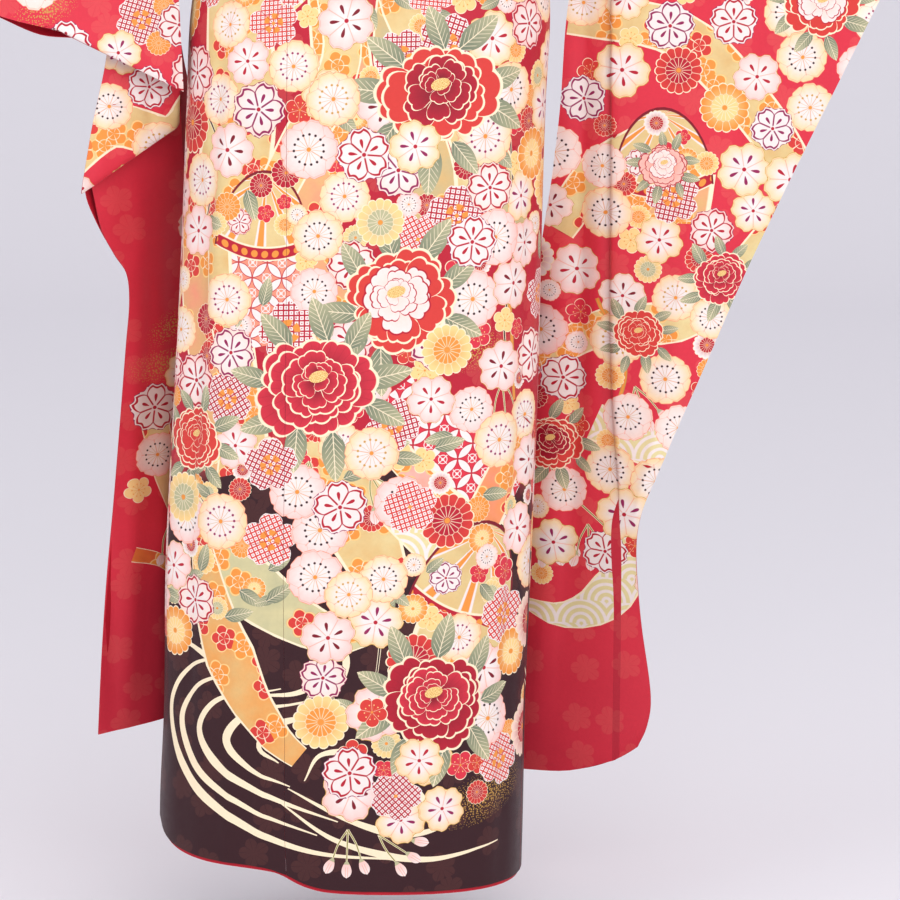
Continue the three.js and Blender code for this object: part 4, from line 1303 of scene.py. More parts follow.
class Layout:
    """The motifs of one stretch of the print, lowest first."""

    def __init__(self, seed: int) -> None:
        """Start with none.

        Args:
            seed: Seed of what is scattered.
        """
        self.rng = random.Random(seed)
        self.motifs: list[Motif] = []
        self.kept: list[Triple] = []

    def add(self, *motifs: Motif) -> None:
        """Lays motifs on top of those there."""
        self.motifs.extend(motifs)

    def peony(self, x: float, z: float, size: float, outer: tuple[Dye, Dye], inner: tuple[Dye, Dye],
              turn: float = 0) -> None:
        """A peony with its leaves.

        Args:
            x: Place across, in mm.
            z: Place up, in mm.
            size: Radius in mm.
            outer: Dyes of the outer petals, rim and root.
            inner: Dyes of the inner petals.
            turn: How far it is turned.
        """
        self.kept.append((x, z, size * 0.95))
        for k in range(9):
            a = turn + k * 0.7 + self.rng.uniform(-0.12, 0.12)
            reach = size * self.rng.uniform(1.0, 1.14)
            self.add(Motif(Kind.LEAF, x + math.cos(a) * reach, z + math.sin(a) * reach,
                           size * self.rng.uniform(0.32, 0.42), a + self.rng.uniform(-0.4, 0.4), LEAF, SAGE,
                           0.46))
        rows = ((7, 1.0, 0.62, outer), (6, 0.82, 0.66, outer), (5, 0.66, 0.7, inner), (5, 0.52, 0.66, inner),
                (4, 0.36, 0.8, inner), (3, 0.24, 0.9, inner))
        hx, hz = x + size * 0.1 * math.cos(turn + 1.2), z + size * 0.16
        for ring, (count, reach, wide, dyes) in enumerate(rows):
            share = ring / (len(rows) - 1)
            for k in self.rng.sample(range(count), count):
                a = turn + ring * 0.6 + (k + self.rng.uniform(-0.2, 0.2)) * 2 * math.pi / count
                flat = 1 - 0.16 * abs(math.sin(a))
                self.add(Motif(Kind.PETAL, mix(x, hx, share) + size * self.rng.uniform(-0.05, 0.05),
                               mix(z, hz, share) + size * self.rng.uniform(-0.05, 0.05),
                               size * reach * flat * self.rng.uniform(0.88, 1.08), a - math.pi / 2, dyes[0],
                               dyes[1], wide * self.rng.uniform(0.85, 1.12)))
        self.add(Motif(Kind.HEART, hx, hz, size * 0.15, 0.3, STRAW, GOLD, 0.6))

    def bloom(self, kind: Kind, x: float, z: float, size: float) -> None:
        """A blossom in one of its kind's dye pairs.

        Args:
            kind: Which blossom.
            x: Place across, in mm.
            z: Place up, in mm.
            size: Radius in mm.
        """
        pairs = {
            Kind.DOTTED: ((PINK, PLUM), (STRAW, PLUM), (STRAW, GOLD), (BLUSH, PLUM),
                          (CREAM, MAGENTA)),
            Kind.OUTLINED: ((WHITE, CRIMSON), (WHITE, MAGENTA), (WHITE, CRIMSON), (PINK, CRIMSON)),
            Kind.SPOTTED: ((STRAW, CRIMSON), (PINK, CRIMSON), (BLUSH, DEEP), (STRAW, MAGENTA)),
            Kind.KANOKO: ((VERMILION, CRIMSON), (CRIMSON, CRIMSON)),
            Kind.PLUM: ((STRAW, ORANGE), (VERMILION, STRAW), (RED, STRAW)),
            Kind.KIKU: ((WHITE, CRIMSON), (VERMILION, CRIMSON), (ORANGE, STRAW), (STRAW, ORANGE),
                        (STRAW, SAGE), (ORANGE, ORANGE), (CRIMSON, CRIMSON)),
        }[kind]
        tint, tint_b = self.rng.choice(pairs)
        self.add(Motif(kind, x, z, size, self.rng.uniform(0, 6.28), tint, tint_b))

    def scatter(self, inside: Callable[[float, float], float], box: tuple[float, float, float, float],
                tries: int, size: tuple[float, float], close: float, kinds: dict[Kind, float]) -> None:
        """Scatters blossoms where the print is dense.

        Args:
            inside: Density from 0 to 1 at a place.
            box: Least and most across, then least and most up, in mm.
            tries: How many places are tried.
            size: Smallest and largest radius, in mm.
            close: How near two may come, as a share of their radii.
            kinds: Share of each kind.
        """
        names, shares = list(kinds), list(kinds.values())
        for _ in range(tries):
            x, z = self.rng.uniform(box[0], box[1]), self.rng.uniform(box[2], box[3])
            r = self.rng.uniform(*size)
            bare = math.sin(x / 29 + 1.3 + math.sin(z / 53)) * math.sin(z / 34 + 0.7) < -0.62
            if bare or self.rng.random() > inside(x, z):
                continue
            if any(math.hypot(x - a, z - b) < close * (r + c) for a, b, c in self.kept):
                continue
            self.kept.append((x, z, r))
            self.bloom(self.rng.choices(names, shares)[0], x, z, r)

    def blossoms(self, inside: Callable[[float, float], float], box: tuple[float, float, float, float],
                 big: tuple[int, tuple[float, float], float],
                 small: tuple[int, tuple[float, float], float]) -> list[Motif]:
        """Scatters whole blossoms and, between them, small ones.

        Args:
            inside: Density from 0 to 1 at a place.
            box: Least and most across, then least and most up, in mm.
            big: Tries, radii and closeness of the whole blossoms.
            small: The same for the small ones, which are laid at once.

        Returns:
            The whole blossoms, still to be laid on top.
        """
        start = len(self.motifs)
        self.scatter(inside, box, *big, WHOLE_MIX)
        whole_ones = self.motifs[start:]
        del self.motifs[start:]
        self.scatter(inside, box, *small, SMALL_MIX)
        return whole_ones

    def spray(self, x: float, z: float, turn: float, size: float = 1.0) -> None:
        """Buds on thin stems that hang from a place.

        Args:
            x: Place across, in mm.
            z: Place up, in mm.
            turn: Where they hang to, in radians.
            size: Their size as a share of the usual.
        """
        for k in (-1, 0, 1):
            a = turn + 0.42 * k
            ex, ez = x + math.cos(a) * 34 * size, z + math.sin(a) * 34 * size
            self.add(Band(Kind.STEM, x + k, z, 1, 0, OLIVE, CREAM,
                          path=((x, z), ((x + ex) / 2 + 2 * k, (z + ez) / 2), (ex, ez)),
                          widths=(2.2, 2, 1.8)))
            self.add(Motif(Kind.BUD, ex + math.cos(a) * 7, ez + math.sin(a) * 7, 9.5 * size, a, WHITE, SAGE,
                           0.5))

    def ribbon(self, kind: Kind, path: Sequence[Place], wide: Triple, tint: Dye, tint_b: Dye) -> None:
        """A ribbon along a path."""
        self.add(Band(kind, path[0][0], path[0][1], 1, 0, tint, tint_b, path=tuple(path), widths=wide))

    def stream(self, path: Sequence[Place], wide: float = 7) -> None:
        """A tapering line of the stream, curled at its start."""
        self.add(Band(Kind.STREAM, path[0][0], path[0][1], 1, 0, CREAM, CREAM, path=tuple(path),
                      widths=(1.2, wide, 1.2)))

    def dome(self, x: float, z: float, size: float, turn: float) -> None:
        """A flower basket with blossoms in it.

        Args:
            x: Place across of the middle of its foot, in mm.
            z: Place up, in mm.
            size: Half its width, in mm.
            turn: How far it is turned, in radians.
        """
        c, s = math.cos(turn), math.sin(turn)
        self.add(Motif(Kind.DOME, x, z, size, turn, SAND, MINT))
        for u, v, r, kind in ((-0.5, 0.5, 0.3, Kind.OUTLINED), (-0.1, 1.28, 0.26, Kind.KIKU),
                              (0.48, 0.52, 0.24, Kind.KIKU), (0.05, 0.72, 0.2, Kind.PLUM),
                              (0.42, 0.98, 0.17, Kind.PLUM)):
            self.bloom(kind, x + size * (u * c - v * s), z + size * (u * s + v * c), size * r)


WHOLE_MIX = {Kind.DOTTED: 0.34, Kind.SPOTTED: 0.27, Kind.OUTLINED: 0.17, Kind.KANOKO: 0.12, Kind.KIKU: 0.09,
             Kind.PLUM: 0.01}
SMALL_MIX = {Kind.KIKU: 0.62, Kind.PLUM: 0.28, Kind.DOTTED: 0.1}
SCARLET = (VERMILION, VERMILION)
DEEP_RED = (RED, DEEP)
BRIGHT = (CRIMSON, DEEP)
PALE = (WHITE, BLUSH)


def front_layout() -> Layout:
    """The print of the outer front and its narrow panel."""
    lay = Layout(11)
    for path, wide in (
        (((-196, -1020), (-176, -1062), (-150, -1074), (-141, -1050), (-158, -1040), (-168, -1052)), 8),
        (((-204, -1100), (-150, -1112), (-112, -1128), (-118, -1098), (-140, -1090), (-146, -1106)), 6),
        (((-90, -1110), (-160, -1130), (-190, -1175), (-168, -1232), (-110, -1278), (-30, -1312),
          (60, -1322)), 8),
        (((-88, -1128), (-146, -1146), (-172, -1184), (-150, -1230), (-92, -1268), (-20, -1296)), 7),
        (((-60, -1146), (-124, -1160), (-146, -1192), (-122, -1228), (-70, -1256), (0, -1282)), 7),
        (((-38, -1160), (-92, -1172), (-114, -1200), (-90, -1228), (-48, -1246)), 7),
        (((-20, -1172), (-66, -1184), (-80, -1206), (-60, -1222)), 7),
        (((-70, -1090), (-30, -1100), (-14, -1128), (-44, -1150), (-92, -1152)), 6),
        (((-84, -1082), (-44, -1082), (2, -1112), (-10, -1150), (-60, -1164)), 6),
        (((-58, -1262), (0, -1302), (80, -1322), (168, -1312)), 6),
        (((-50, -1248), (10, -1280), (62, -1296), (100, -1288), (92, -1272), (60, -1262)), 6),
        (((-34, -1240), (-20, -1214), (12, -1212), (30, -1228), (14, -1240), (4, -1230)), 6),
        (((20, -1226), (60, -1240), (84, -1262), (60, -1276)), 6),
    ):
        lay.stream(path, wide * 1.3)
    lay.add(Motif(Kind.DUST, 150, -1262, 62, 0.35, wide=0.42),
            Motif(Kind.DUST, 110, -806, 52, 0.1, wide=0.5), Motif(Kind.DUST, 140, -566, 50, -0.2, wide=0.5))
    for path, wide, tint in ((((-150, -400), (-128, -560), (-150, -740), (-110, -930)), (70, 96, 70), MINT),
                             (((-40, -430), (-22, -560), (-50, -700), (-10, -800)), (50, 70, 50), CORAL),
                             (((40, -400), (30, -520), (70, -640), (50, -720)), (50, 44, 50), SAGE),
                             (((-60, -900), (0, -960), (40, -1040)), (60, 80, 50), MINT)):
        lay.ribbon(Kind.RIBBON, path, wide, SAND, tint)
    lay.ribbon(Kind.WAVES, ((-60, -462), (-100, -420), (-130, -380)), (60, 60, 60), MINT, SAGE)
    lay.ribbon(Kind.RIBBON, ((-40, -440), (-24, -520), (-64, -610), (-110, -700)), (34, 44, 40), MINT, SAND)
    lay.ribbon(Kind.RIBBON, ((20, -420), (34, -470), (64, -520), (110, -600), (120, -700)), (40, 50, 46),
               SAND, MINT)
    lay.ribbon(Kind.RIBBON, ((118, -600), (140, -640), (168, -700)), (40, 46, 44), SAGE, SAND)
    lay.ribbon(Kind.RIBBON, ((-190, -640), (-176, -760), (-150, -860), (-152, -930)), (50, 46, 40), SAND,
               CORAL)
    lay.ribbon(Kind.SHIPPO, ((44, -842), (84, -890), (128, -930), (178, -962)), (58, 60, 60), RED, CRIMSON)
    lay.ribbon(Kind.RIBBON, ((36, -900), (84, -950), (128, -990)), (26, 30, 30), CORAL, PINK)
    lay.ribbon(Kind.RIBBON, ((118, -1010), (150, -950), (190, -880)), (44, 46, 46), CORAL, ORANGE)
    lay.ribbon(Kind.WAVES, ((40, -960), (96, -1010), (150, -1060)), (36, 44, 40), MINT, SAGE)
    lay.ribbon(Kind.RIBBON, ((-178, -958), (-130, -1010), (-74, -1058), (-10, -1092), (20, -1088)),
               (34, 64, 30), SAGE, MINT)
    lay.ribbon(Kind.RIBBON, ((-152, -1000), (-128, -1080), (-96, -1150), (-62, -1198), (-40, -1216)),
               (30, 56, 24), SAND, ORANGE)
    lay.ribbon(Kind.SHIPPO, ((-94, -700), (-90, -748), (-80, -800)), (78, 76, 66), CORAL, VERMILION)
    lay.dome(-98, -706, 48, -0.06)
    lay.dome(118, -1072, 60, -0.3)
    lay.ribbon(Kind.RIBBON, ((126, -1080), (110, -1120), (104, -1160)), (104, 100, 84), SAND, MINT)
    for path in (((150, -600), (160, -700), (150, -790), (168, -850)),
                 ((-60, -900), (-52, -960), (-36, -1010)), ((20, -1020), (36, -1080), (28, -1180)),
                 ((-176, -560), (-150, -610), (-166, -690))):
        lay.ribbon(Kind.STEM, path, (3, 3, 2), PLUM, CREAM)
    lay.ribbon(Kind.STEM, ((112, -640), (150, -740), (168, -860)), (5, 5, 5), ORANGE, GOLD)

    def dense(x: float, z: float) -> float:
        low = -1100 - 178 * ease(-60, 20, x) + 60 * ease(120, 200, x)
        body = ease(low - 12, low + 12, z) * ease(-400, -440, z)
        red = 0.55 * bump(160, 60, x) * bump(-800, 130, z) + 0.8 * bump(-85, 60, x) * bump(-960, 70, z)
        return body * (1 - red)

    lay.kept += [(-98, -672, 40), (-96, -700, 38), (-90, -752, 24), (108, -1040, 46), (-122, -1104, 34),
                 (-64, -1070, 32), (-116, -1034, 28), (-176, -752, 22), (92, -896, 24), (124, -932, 24),
                 (150, -966, 16), (104, -1130, 18), (30, -450, 18)]
    big = lay.blossoms(dense, (-240, 225, -1290, -420), (5200, (25, 32), 0.74), (900, (11, 16), 0.66))
    for x, z, a in ((40, -1296, -0.6), (10, -1290, -1.6), (-40, -916, -1.8), (150, -840, -1.4),
                    (118, -624, -1.2), (-20, -1128, -1.6), (20, -930, -1.0)):
        lay.spray(x, z, a)
    for _ in range(70):
        x, z = lay.rng.uniform(-230, 215), lay.rng.uniform(-1180, -430)
        if dense(x, z) > 0.5:
            lay.add(Motif(Kind.LEAF, x, z, lay.rng.uniform(11, 16), lay.rng.uniform(0, 6.28), LEAF, SAGE,
                          0.46))
    warmer = {WHITE: BLUSH, CREAM: STRAW, BLUSH: PINK}
    for motif in big:
        motif.tint = warmer.get(motif.tint, motif.tint)
    lay.motifs += big
    lay.peony(74, -556, 64, SCARLET, BRIGHT, 0.3)
    lay.peony(42, -758, 62, SCARLET, PALE, 1.1)
    lay.peony(-36, -842, 64, DEEP_RED, DEEP_RED, 0.2)
    lay.peony(-166, -900, 40, SCARLET, SCARLET, 0.5)
    lay.peony(92, -1160, 60, BRIGHT, DEEP_RED, 0.7)
    for kind, x, z, r in ((Kind.OUTLINED, 2, -614, 29), (Kind.SPOTTED, 52, -606, 28),
                          (Kind.KIKU, 20, -680, 24), (Kind.DOTTED, -30, -560, 29),
                          (Kind.OUTLINED, 112, -700, 28), (Kind.KIKU, 90, -806, 26),
                          (Kind.KANOKO, -78, -920, 28), (Kind.DOTTED, 20, -908, 29),
                          (Kind.OUTLINED, -8, -962, 29), (Kind.OUTLINED, 10, -1232, 29),
                          (Kind.KANOKO, 56, -1256, 27), (Kind.SPOTTED, 78, -1220, 26),
                          (Kind.PLUM, 30, -1170, 16), (Kind.DOTTED, 4, -1050, 26),
                          (Kind.KIKU, -180, -960, 26), (Kind.KANOKO, 60, -962, 28)):
        lay.bloom(kind, x, z, r)
    return lay


def filler_layout(seed: int, box: tuple[float, float, float, float], low: Callable[[float], float],
                  top: float, thin: float = 1.0) -> Layout:
    """A print of the same motifs for the parts turned away.

    Args:
        seed: Seed of the layout.
        box: Least and most across, then least and most up, in mm.
        low: Lower edge of the dense part, by place across.
        top: Upper edge of the dense part.
        thin: Density from 0 to 1.

    Returns:
        The layout.
    """
    lay = Layout(seed)
    x0, x1, z0, z1 = box
    rng = lay.rng
    for k in range(max(1, int((x1 - x0) / 150))):
        x = x0 + 60 + 150 * k
        z = rng.uniform(z0 * 0.7 + top * 0.3, top - 60)
        lay.ribbon(rng.choice((Kind.RIBBON, Kind.RIBBON, Kind.SHIPPO, Kind.WAVES)),
                   ((x - 60, z + 120), (x, z + 20), (x + 20, z - 90), (x + 80, z - 190)), (40, 58, 44),
                   rng.choice((SAND, MINT, SAGE, RED)), MINT)
        lay.stream(((x - 90, low(x) - 30), (x - 20, low(x) - 70), (x + 60, low(x) - 50),
                    (x + 110, low(x) - 80)), 7)
        lay.stream(((x - 70, low(x) - 56), (x, low(x) - 92), (x + 70, low(x) - 80)), 6)

    def dense(x: float, z: float) -> float:
        return ease(low(x) - 15, low(x) + 15, z) * ease(top + 20, top - 20, z) * thin

    spots = [(x0 + (x1 - x0) * (0.25 + 0.5 * (k % 2)), top - 90 - 210 * k) for k in range(5)]
    peonies = [(x, z) for x, z in spots if z > low(x) + 30]
    lay.kept += [(x, z, 52) for x, z in peonies]
    area = (x1 - x0) * (z1 - z0)
    lay.motifs += lay.blossoms(dense, box, (int(area / 90), (24, 30), 0.84),
                               (int(area / 500), (11, 15), 0.7))
    for k, (x, z) in enumerate(peonies):
        lay.peony(x, z, 56, (SCARLET, DEEP_RED)[k % 2], (PALE, DEEP_RED, BRIGHT)[k % 3], k)
    return lay


def left_sleeve_layout() -> Layout:
    """The print of the long sleeve's front on the viewer's right."""
    lay = Layout(23)

    def low(x: float) -> float:
        return -1010 - 60 * bump(150, 80, x) - 60 * ease(180, 260, x)

    lay.ribbon(Kind.WAVES, ((150, -1100), (190, -1110), (230, -1092), (262, -1040), (256, -1000)),
               (12, 50, 30), MINT, SAGE)
    lay.ribbon(Kind.RIBBON, ((190, -480), (300, -500), (380, -580), (420, -640)), (40, 50, 44), SAND, MINT)
    lay.ribbon(Kind.RIBBON, ((160, -840), (230, -800), (300, -790), (350, -760), (400, -700)), (30, 46, 40),
               MINT, SAND)
    lay.ribbon(Kind.RIBBON, ((180, -700), (220, -640), (280, -600)), (36, 44, 40), MINT, SAND)
    lay.ribbon(Kind.WAVES, ((220, -900), (270, -920), (320, -930)), (40, 44, 40), MINT, SAGE)
    lay.ribbon(Kind.STEM, ((170, -900), (180, -960), (230, -1010)), (3, 3, 2), OLIVE, CREAM)
    lay.ribbon(Kind.STEM, ((222, -770), (250, -840), (236, -900)), (4, 4, 4), ORANGE, GOLD)
    lay.ribbon(Kind.RIBBON, ((286, -640), (286, -690)), (104, 98, 90), SAND, CORAL)
    lay.dome(286, -652, 50, 0.05)

    def dense(x: float, z: float) -> float:
        upper = 0.5 * bump(200, 50, x) * bump(-640, 90, z)
        lower = 0.5 * bump(215, 50, x) * bump(-900, 60, z)
        return ease(low(x) - 14, low(x) + 14, z) * (1 - upper - lower)

    lay.kept += [(286, -610, 40), (346, -745, 26), (176, -925, 28)]
    big = lay.blossoms(dense, (0, 570, -1120, -90), (5200, (24, 31), 0.78), (700, (11, 15), 0.7))
    for x, z, a in ((170, -1010, -1.2), (214, -1010, -1.5), (140, -770, -1.7), (260, -860, -1.2)):
        lay.spray(x, z, a)
    lay.motifs += big
    lay.peony(346, -746, 32, DEEP_RED, DEEP_RED, 0.3)
    lay.peony(286, -632, 26, (PINK, CORAL), PALE, 0.3)
    lay.peony(176, -926, 36, SCARLET, BRIGHT, 0.8)
    lay.peony(262, -806, 30, SCARLET, SCARLET, 0.1)
    lay.peony(440, -470, 40, SCARLET, PALE, 0.1)
    return lay


def right_sleeve_layout() -> Layout:
    """The print of the other sleeve's hanging part."""
    lay = Layout(37)
    lay.add(Motif(Kind.DUST, -222, -840, 44, 0.1, wide=0.6), Motif(Kind.DUST, -216, -800, 36, 0.5, wide=0.6))
    lay.ribbon(Kind.RIBBON, ((-238, -900), (-226, -960), (-214, -1010)), (30, 26, 12), MINT, SAND)
    for kind, x, z, r in ((Kind.SPOTTED, -205, -852, 24), (Kind.OUTLINED, -238, -884, 27),
                          (Kind.DOTTED, -192, -884, 26), (Kind.DOTTED, -236, -934, 25),
                          (Kind.KANOKO, -196, -940, 26), (Kind.SPOTTED, -172, -912, 25),
                          (Kind.KIKU, -200, -996, 14), (Kind.DOTTED, -168, -980, 24),
                          (Kind.OUTLINED, -148, -946, 25), (Kind.PLUM, -256, -968, 14),
                          (Kind.DOTTED, -150, -860, 25), (Kind.DOTTED, -190, -700, 26),
                          (Kind.SPOTTED, -120, -1010, 24)):
        lay.bloom(kind, x, z, r)
    lay.ribbon(Kind.RIBBON, ((-262, -1036), (-236, -1046), (-222, -1062)), (16, 14, 6), ORANGE, VERMILION)
    lay.spray(-226, -1012, -1.4, 0.8)
    return lay


def droop_layout() -> Layout:
    """The print of the other sleeve's upper, drooping parts."""
    lay = Layout(41)
    lay.ribbon(Kind.RIBBON, ((-330, -640), (-270, -590), (-210, -600), (-180, -560)), (40, 44, 40), SAND,
               MINT)
    lay.ribbon(Kind.SHIPPO, ((-290, -400), (-230, -430), (-180, -480)), (50, 54, 50), RED, VERMILION)
    lay.add(Motif(Kind.DUST, -330, -476, 36, 0.3, wide=0.4))
    lay.kept += [(-340, -452, 20)]
    for kind, x, z, r in ((Kind.DOTTED, -338, -450, 27), (Kind.DOTTED, -392, -452, 25),
                          (Kind.KANOKO, -236, -484, 26)):
        lay.kept.append((x, z, r * 0.8))
        lay.bloom(kind, x, z, r)

    def dense(x: float, z: float) -> float:
        return 0.95 * (1 if z < -498 else ease(-272, -244, x) + ease(-455, -440, z) * 0.3)

    lay.motifs += lay.blossoms(dense, (-570, -170, -680, -90), (2600, (23, 28), 0.8), (400, (10, 14), 0.7))
    return lay


# ------------------------------------------------------------------ sewing
@dataclass
class Chunk:
    """Part of a mesh, ready to be joined to the rest.

    Attributes:
        points: Points in mm.
        normals: Their normals.
        tris: Triangles, as numbers of points.
        slots: Material number of each triangle.
        cloth: Print place and painted shade of each corner.
        motif: Place in the motif of each corner.
        tint: Main dye of each corner.
        tint_b: Second dye of each corner.
    """

    points: Array
    normals: Array
    tris: Array
    slots: Array
    cloth: Array
    motif: Array
    tint: Array
    tint_b: Array


def cross(a: Array, b: Array) -> Array:
    """Twice the area between pairs of flat directions."""
    return a[:, 0] * b[:, 1] - a[:, 1] * b[:, 0]


def cells(n: int, m: int) -> Array:
    """Two triangles for each cell of a grid of n rows and m columns."""
    i = np.arange(n * m).reshape(n, m)
    a, b, c, d = i[:-1, :-1].ravel(), i[:-1, 1:].ravel(), i[1:, 1:].ravel(), i[1:, :-1].ravel()
    return np.concatenate([np.stack([a, b, c], 1), np.stack([a, c, d], 1)])


class Sewn:
    """One visible piece: a thin printed shell with its lining and folded edge."""

    def __init__(self, name: str, dyes: Dyes, plum: bool = True) -> None:
        """Start with no cloth.

        Args:
            name: The piece's name.
            dyes: The shared materials.
            plum: Whether its ground turns plum brown below.
        """
        self.name, self.dyes, self.plum = name, dyes, plum
        self.chunks: list[Chunk] = []
        self.materials: list[bpy.types.Material] = []

    def slot(self, material: bpy.types.Material) -> int:
        """The piece's number for a material."""
        if material not in self.materials:
            self.materials.append(material)
        return self.materials.index(material)

    def plain(self, points: Array, normals: Array, prints: Array, material: bpy.types.Material, turned: bool,
              shade: float = 0.0) -> None:
        """Adds a grid without motifs.

        Args:
            points: Rows of columns of points.
            normals: Their normals.
            prints: Their print places.
            material: What it is made of.
            turned: Whether its faces look against columns crossed with rows.
            shade: How much painted shade darkens its colour.
        """
        tris = cells(*points.shape[:2])
        if turned:
            tris = tris[:, ::-1]
        flat = prints.reshape(-1, 2)[tris.ravel()]
        cloth = np.concatenate([flat, np.full((len(flat), 1), shade)], 1)
        none = np.zeros((len(flat), 4))
        self.chunks.append(Chunk(points.reshape(-1, 3), normals.reshape(-1, 3), tris,
                                 np.full(len(tris), self.slot(material)), cloth, none[:, :3], none, none))

    def printed(self, points: Array, normals: Array, prints: Array, layout: Layout) -> None:
        """Adds a grid with the print's motifs cut into it along their outlines.

        Args:
            points: Rows of columns of points, on the cloth's right side.
            normals: Their normals.
            prints: Their print places.
            layout: The motifs.
        """
        n, m = points.shape[:2]
        index = np.arange(n * m).reshape(n, m)
        loop = np.concatenate([index[0, :-1], index[:-1, -1], index[-1, :0:-1], index[:0:-1, 0]])
        flat = prints.reshape(-1, 2)
        x, z = flat[loop].T
        if (x * np.roll(z, -1) - z * np.roll(x, -1)).sum() < 0:
            loop = loop[::-1]
        lo, hi = flat.min(0), flat.max(0)
        polys, used = [list(range(len(loop)))], []
        places = [flat[loop], flat[index[1:-1, 1:-1].ravel()]]
        count = n * m
        for motif in layout.motifs:
            edge = motif.outline()
            if (edge.max(0) < lo).any() or (edge.min(0) > hi).any():
                continue
            polys.append(list(range(count, count + len(edge))))
            places.append(edge)
            used.append(motif)
            count += len(edge)
        given = [Vector(p) for p in np.concatenate(places).tolist()]
        made, _edges, faces, _ov, _oe, owners = delaunay_2d_cdt(given, [], polys, 1, 1e-4)
        spots = np.array([tuple(v) for v in made])
        tris, tops = [], []
        for face, own in zip(faces, owners):
            if 0 in own and len(face) == 3:
                tris.append(face)
                tops.append(max(own))
        tris, tops = np.array(tris), np.array(tops)
        p = spots[tris]
        area = cross(p[:, 1] - p[:, 0], p[:, 2] - p[:, 0])
        tris[area < 0] = tris[area < 0][:, ::-1]
        keep = np.abs(area) > 1e-4
        tris, tops = tris[keep], tops[keep]
        where, share = self.find(flat, n, m, spots)
        at = (points.reshape(-1, 3)[where] * share[..., None]).sum(1)
        nn = (normals.reshape(-1, 3)[where] * share[..., None]).sum(1)
        nn /= np.linalg.norm(nn, axis=1, keepdims=True)
        faced = np.cross(at[tris[:, 1]] - at[tris[:, 0]], at[tris[:, 2]] - at[tris[:, 0]])
        if (faced * nn[tris[:, 0]]).sum() < 0:
            tris = tris[:, ::-1].copy()
        corners = spots[tris].reshape(-1, 2)
        local = np.zeros((len(corners), 3))
        tint, tint_b = np.zeros((len(corners), 4)), np.zeros((len(corners), 4))
        slots = np.full(len(tris), self.slot(self.dyes.get(Kind.GROUND, self.plum)))
        order = np.argsort(tops, kind="stable")
        starts = np.searchsorted(tops[order], np.arange(1, len(used) + 2))
        for k, motif in enumerate(used):
            mine = order[starts[k]:starts[k + 1]]
            if not len(mine):
                continue
            c = (mine[:, None] * 3 + np.arange(3)).ravel()
            local[c] = motif.local(corners[c])
            tint[c], tint_b[c] = (*motif.tint.linear, 1), (*motif.tint_b.linear, 1)
            slots[mine] = self.slot(self.dyes.get(motif.kind, self.plum))
        cloth = np.concatenate([corners, np.zeros((len(corners), 1))], 1)
        self.chunks.append(Chunk(at, nn, tris, slots, cloth, local, tint, tint_b))

    @staticmethod
    def find(flat: Array, n: int, m: int, spots: Array) -> tuple[Array, Array]:
        """Finds places of the print in the grid.

        Args:
            flat: Print places of the grid's points.
            n: How many rows it has.
            m: How many columns.
            spots: The places to find.

        Returns:
            The three grid points round each, and each one's share.
        """
        tris = cells(n, m)
        tree = BVHTree.FromPolygons([(x, z, 0.0) for x, z in flat.tolist()], tris.tolist())
        hits = [tree.find_nearest((x, z, 0.0)) for x, z in spots.tolist()]
        where = tris[[h[2] for h in hits]]
        p = np.array([tuple(h[0])[:2] for h in hits])
        p0, p1, p2 = flat[where[:, 0]], flat[where[:, 1]], flat[where[:, 2]]
        e1, e2, e = p1 - p0, p2 - p0, p - p0
        whole_cell = cross(e1, e2)
        whole_cell = np.where(np.abs(whole_cell) < 1e-9, 1e-9, whole_cell)
        s = np.clip(cross(e, e2) / whole_cell, 0, 1)
        t = np.clip(cross(e1, e) / whole_cell, 0, 1)
        over = np.maximum(s + t, 1)
        s, t = s / over, t / over
        return where, np.stack([1 - s - t, s, t], 1)

    def joined(self, name: str) -> Array:
        """What the chunks hold under a name, as one array."""
        return np.concatenate([getattr(c, name) for c in self.chunks])

    def finish(self) -> bpy.types.Object:
        """Joins the chunks into one object.

        Returns:
            The object, in the scene.
        """
        mesh = bpy.data.meshes.new(self.name)
        base = np.concatenate([[0], np.cumsum([len(c.points) for c in self.chunks])[:-1]])
        points = self.joined("points") * MM
        tris = np.concatenate([c.tris + b for c, b in zip(self.chunks, base)])
        mesh.from_pydata(points.tolist(), [], tris.tolist())
        for material in self.materials:
            mesh.materials.append(material)
        mesh.polygons.foreach_set("material_index", self.joined("slots").astype(np.int32))
        mesh.polygons.foreach_set("use_smooth", np.ones(len(tris), bool))
        for name, kind, key in (("cloth", "FLOAT_VECTOR", "vector"), ("motif", "FLOAT_VECTOR", "vector"),
                                ("tint", "FLOAT_COLOR", "color"), ("tint_b", "FLOAT_COLOR", "color")):
            layer = mesh.attributes.new(name, kind, "CORNER")
            layer.data.foreach_set(key, self.joined(name).astype(np.float32).ravel())
        mesh.normals_split_custom_set_from_vertices(self.joined("normals").tolist())
        obj = bpy.data.objects.new(self.name, mesh)
        bpy.context.scene.collection.objects.link(obj)
        LOG.info("%s: %d triangles, %d materials", self.name, len(tris), len(self.materials))
        return obj


def lifted(grid: Array, prints: Array, creases: Sequence[Crease], sign: float, loose: object = 1.0) -> Array:
    """The grid with creases worked into it."""
    lift = sum(c.lift(prints) for c in creases) * loose
    return grid + normals_of(grid) * sign * lift[..., None]


def print_spots(points: Array, way: float = 1.0) -> Array:
    """Places in the print straight behind the points, mirrored where way is -1."""
    return np.stack([way * points[..., 0], points[..., 2]], -1)


def numbered(grid: Array, axis: int) -> Array:
    """The grid with the numbers of its rows or columns added to each point."""
    shape = [1, 1, 1]
    shape[axis] = grid.shape[axis]
    count = np.arange(grid.shape[axis], dtype=float).reshape(shape)
    return np.concatenate([grid, np.broadcast_to(count, (*grid.shape[:2], 1))], 2)


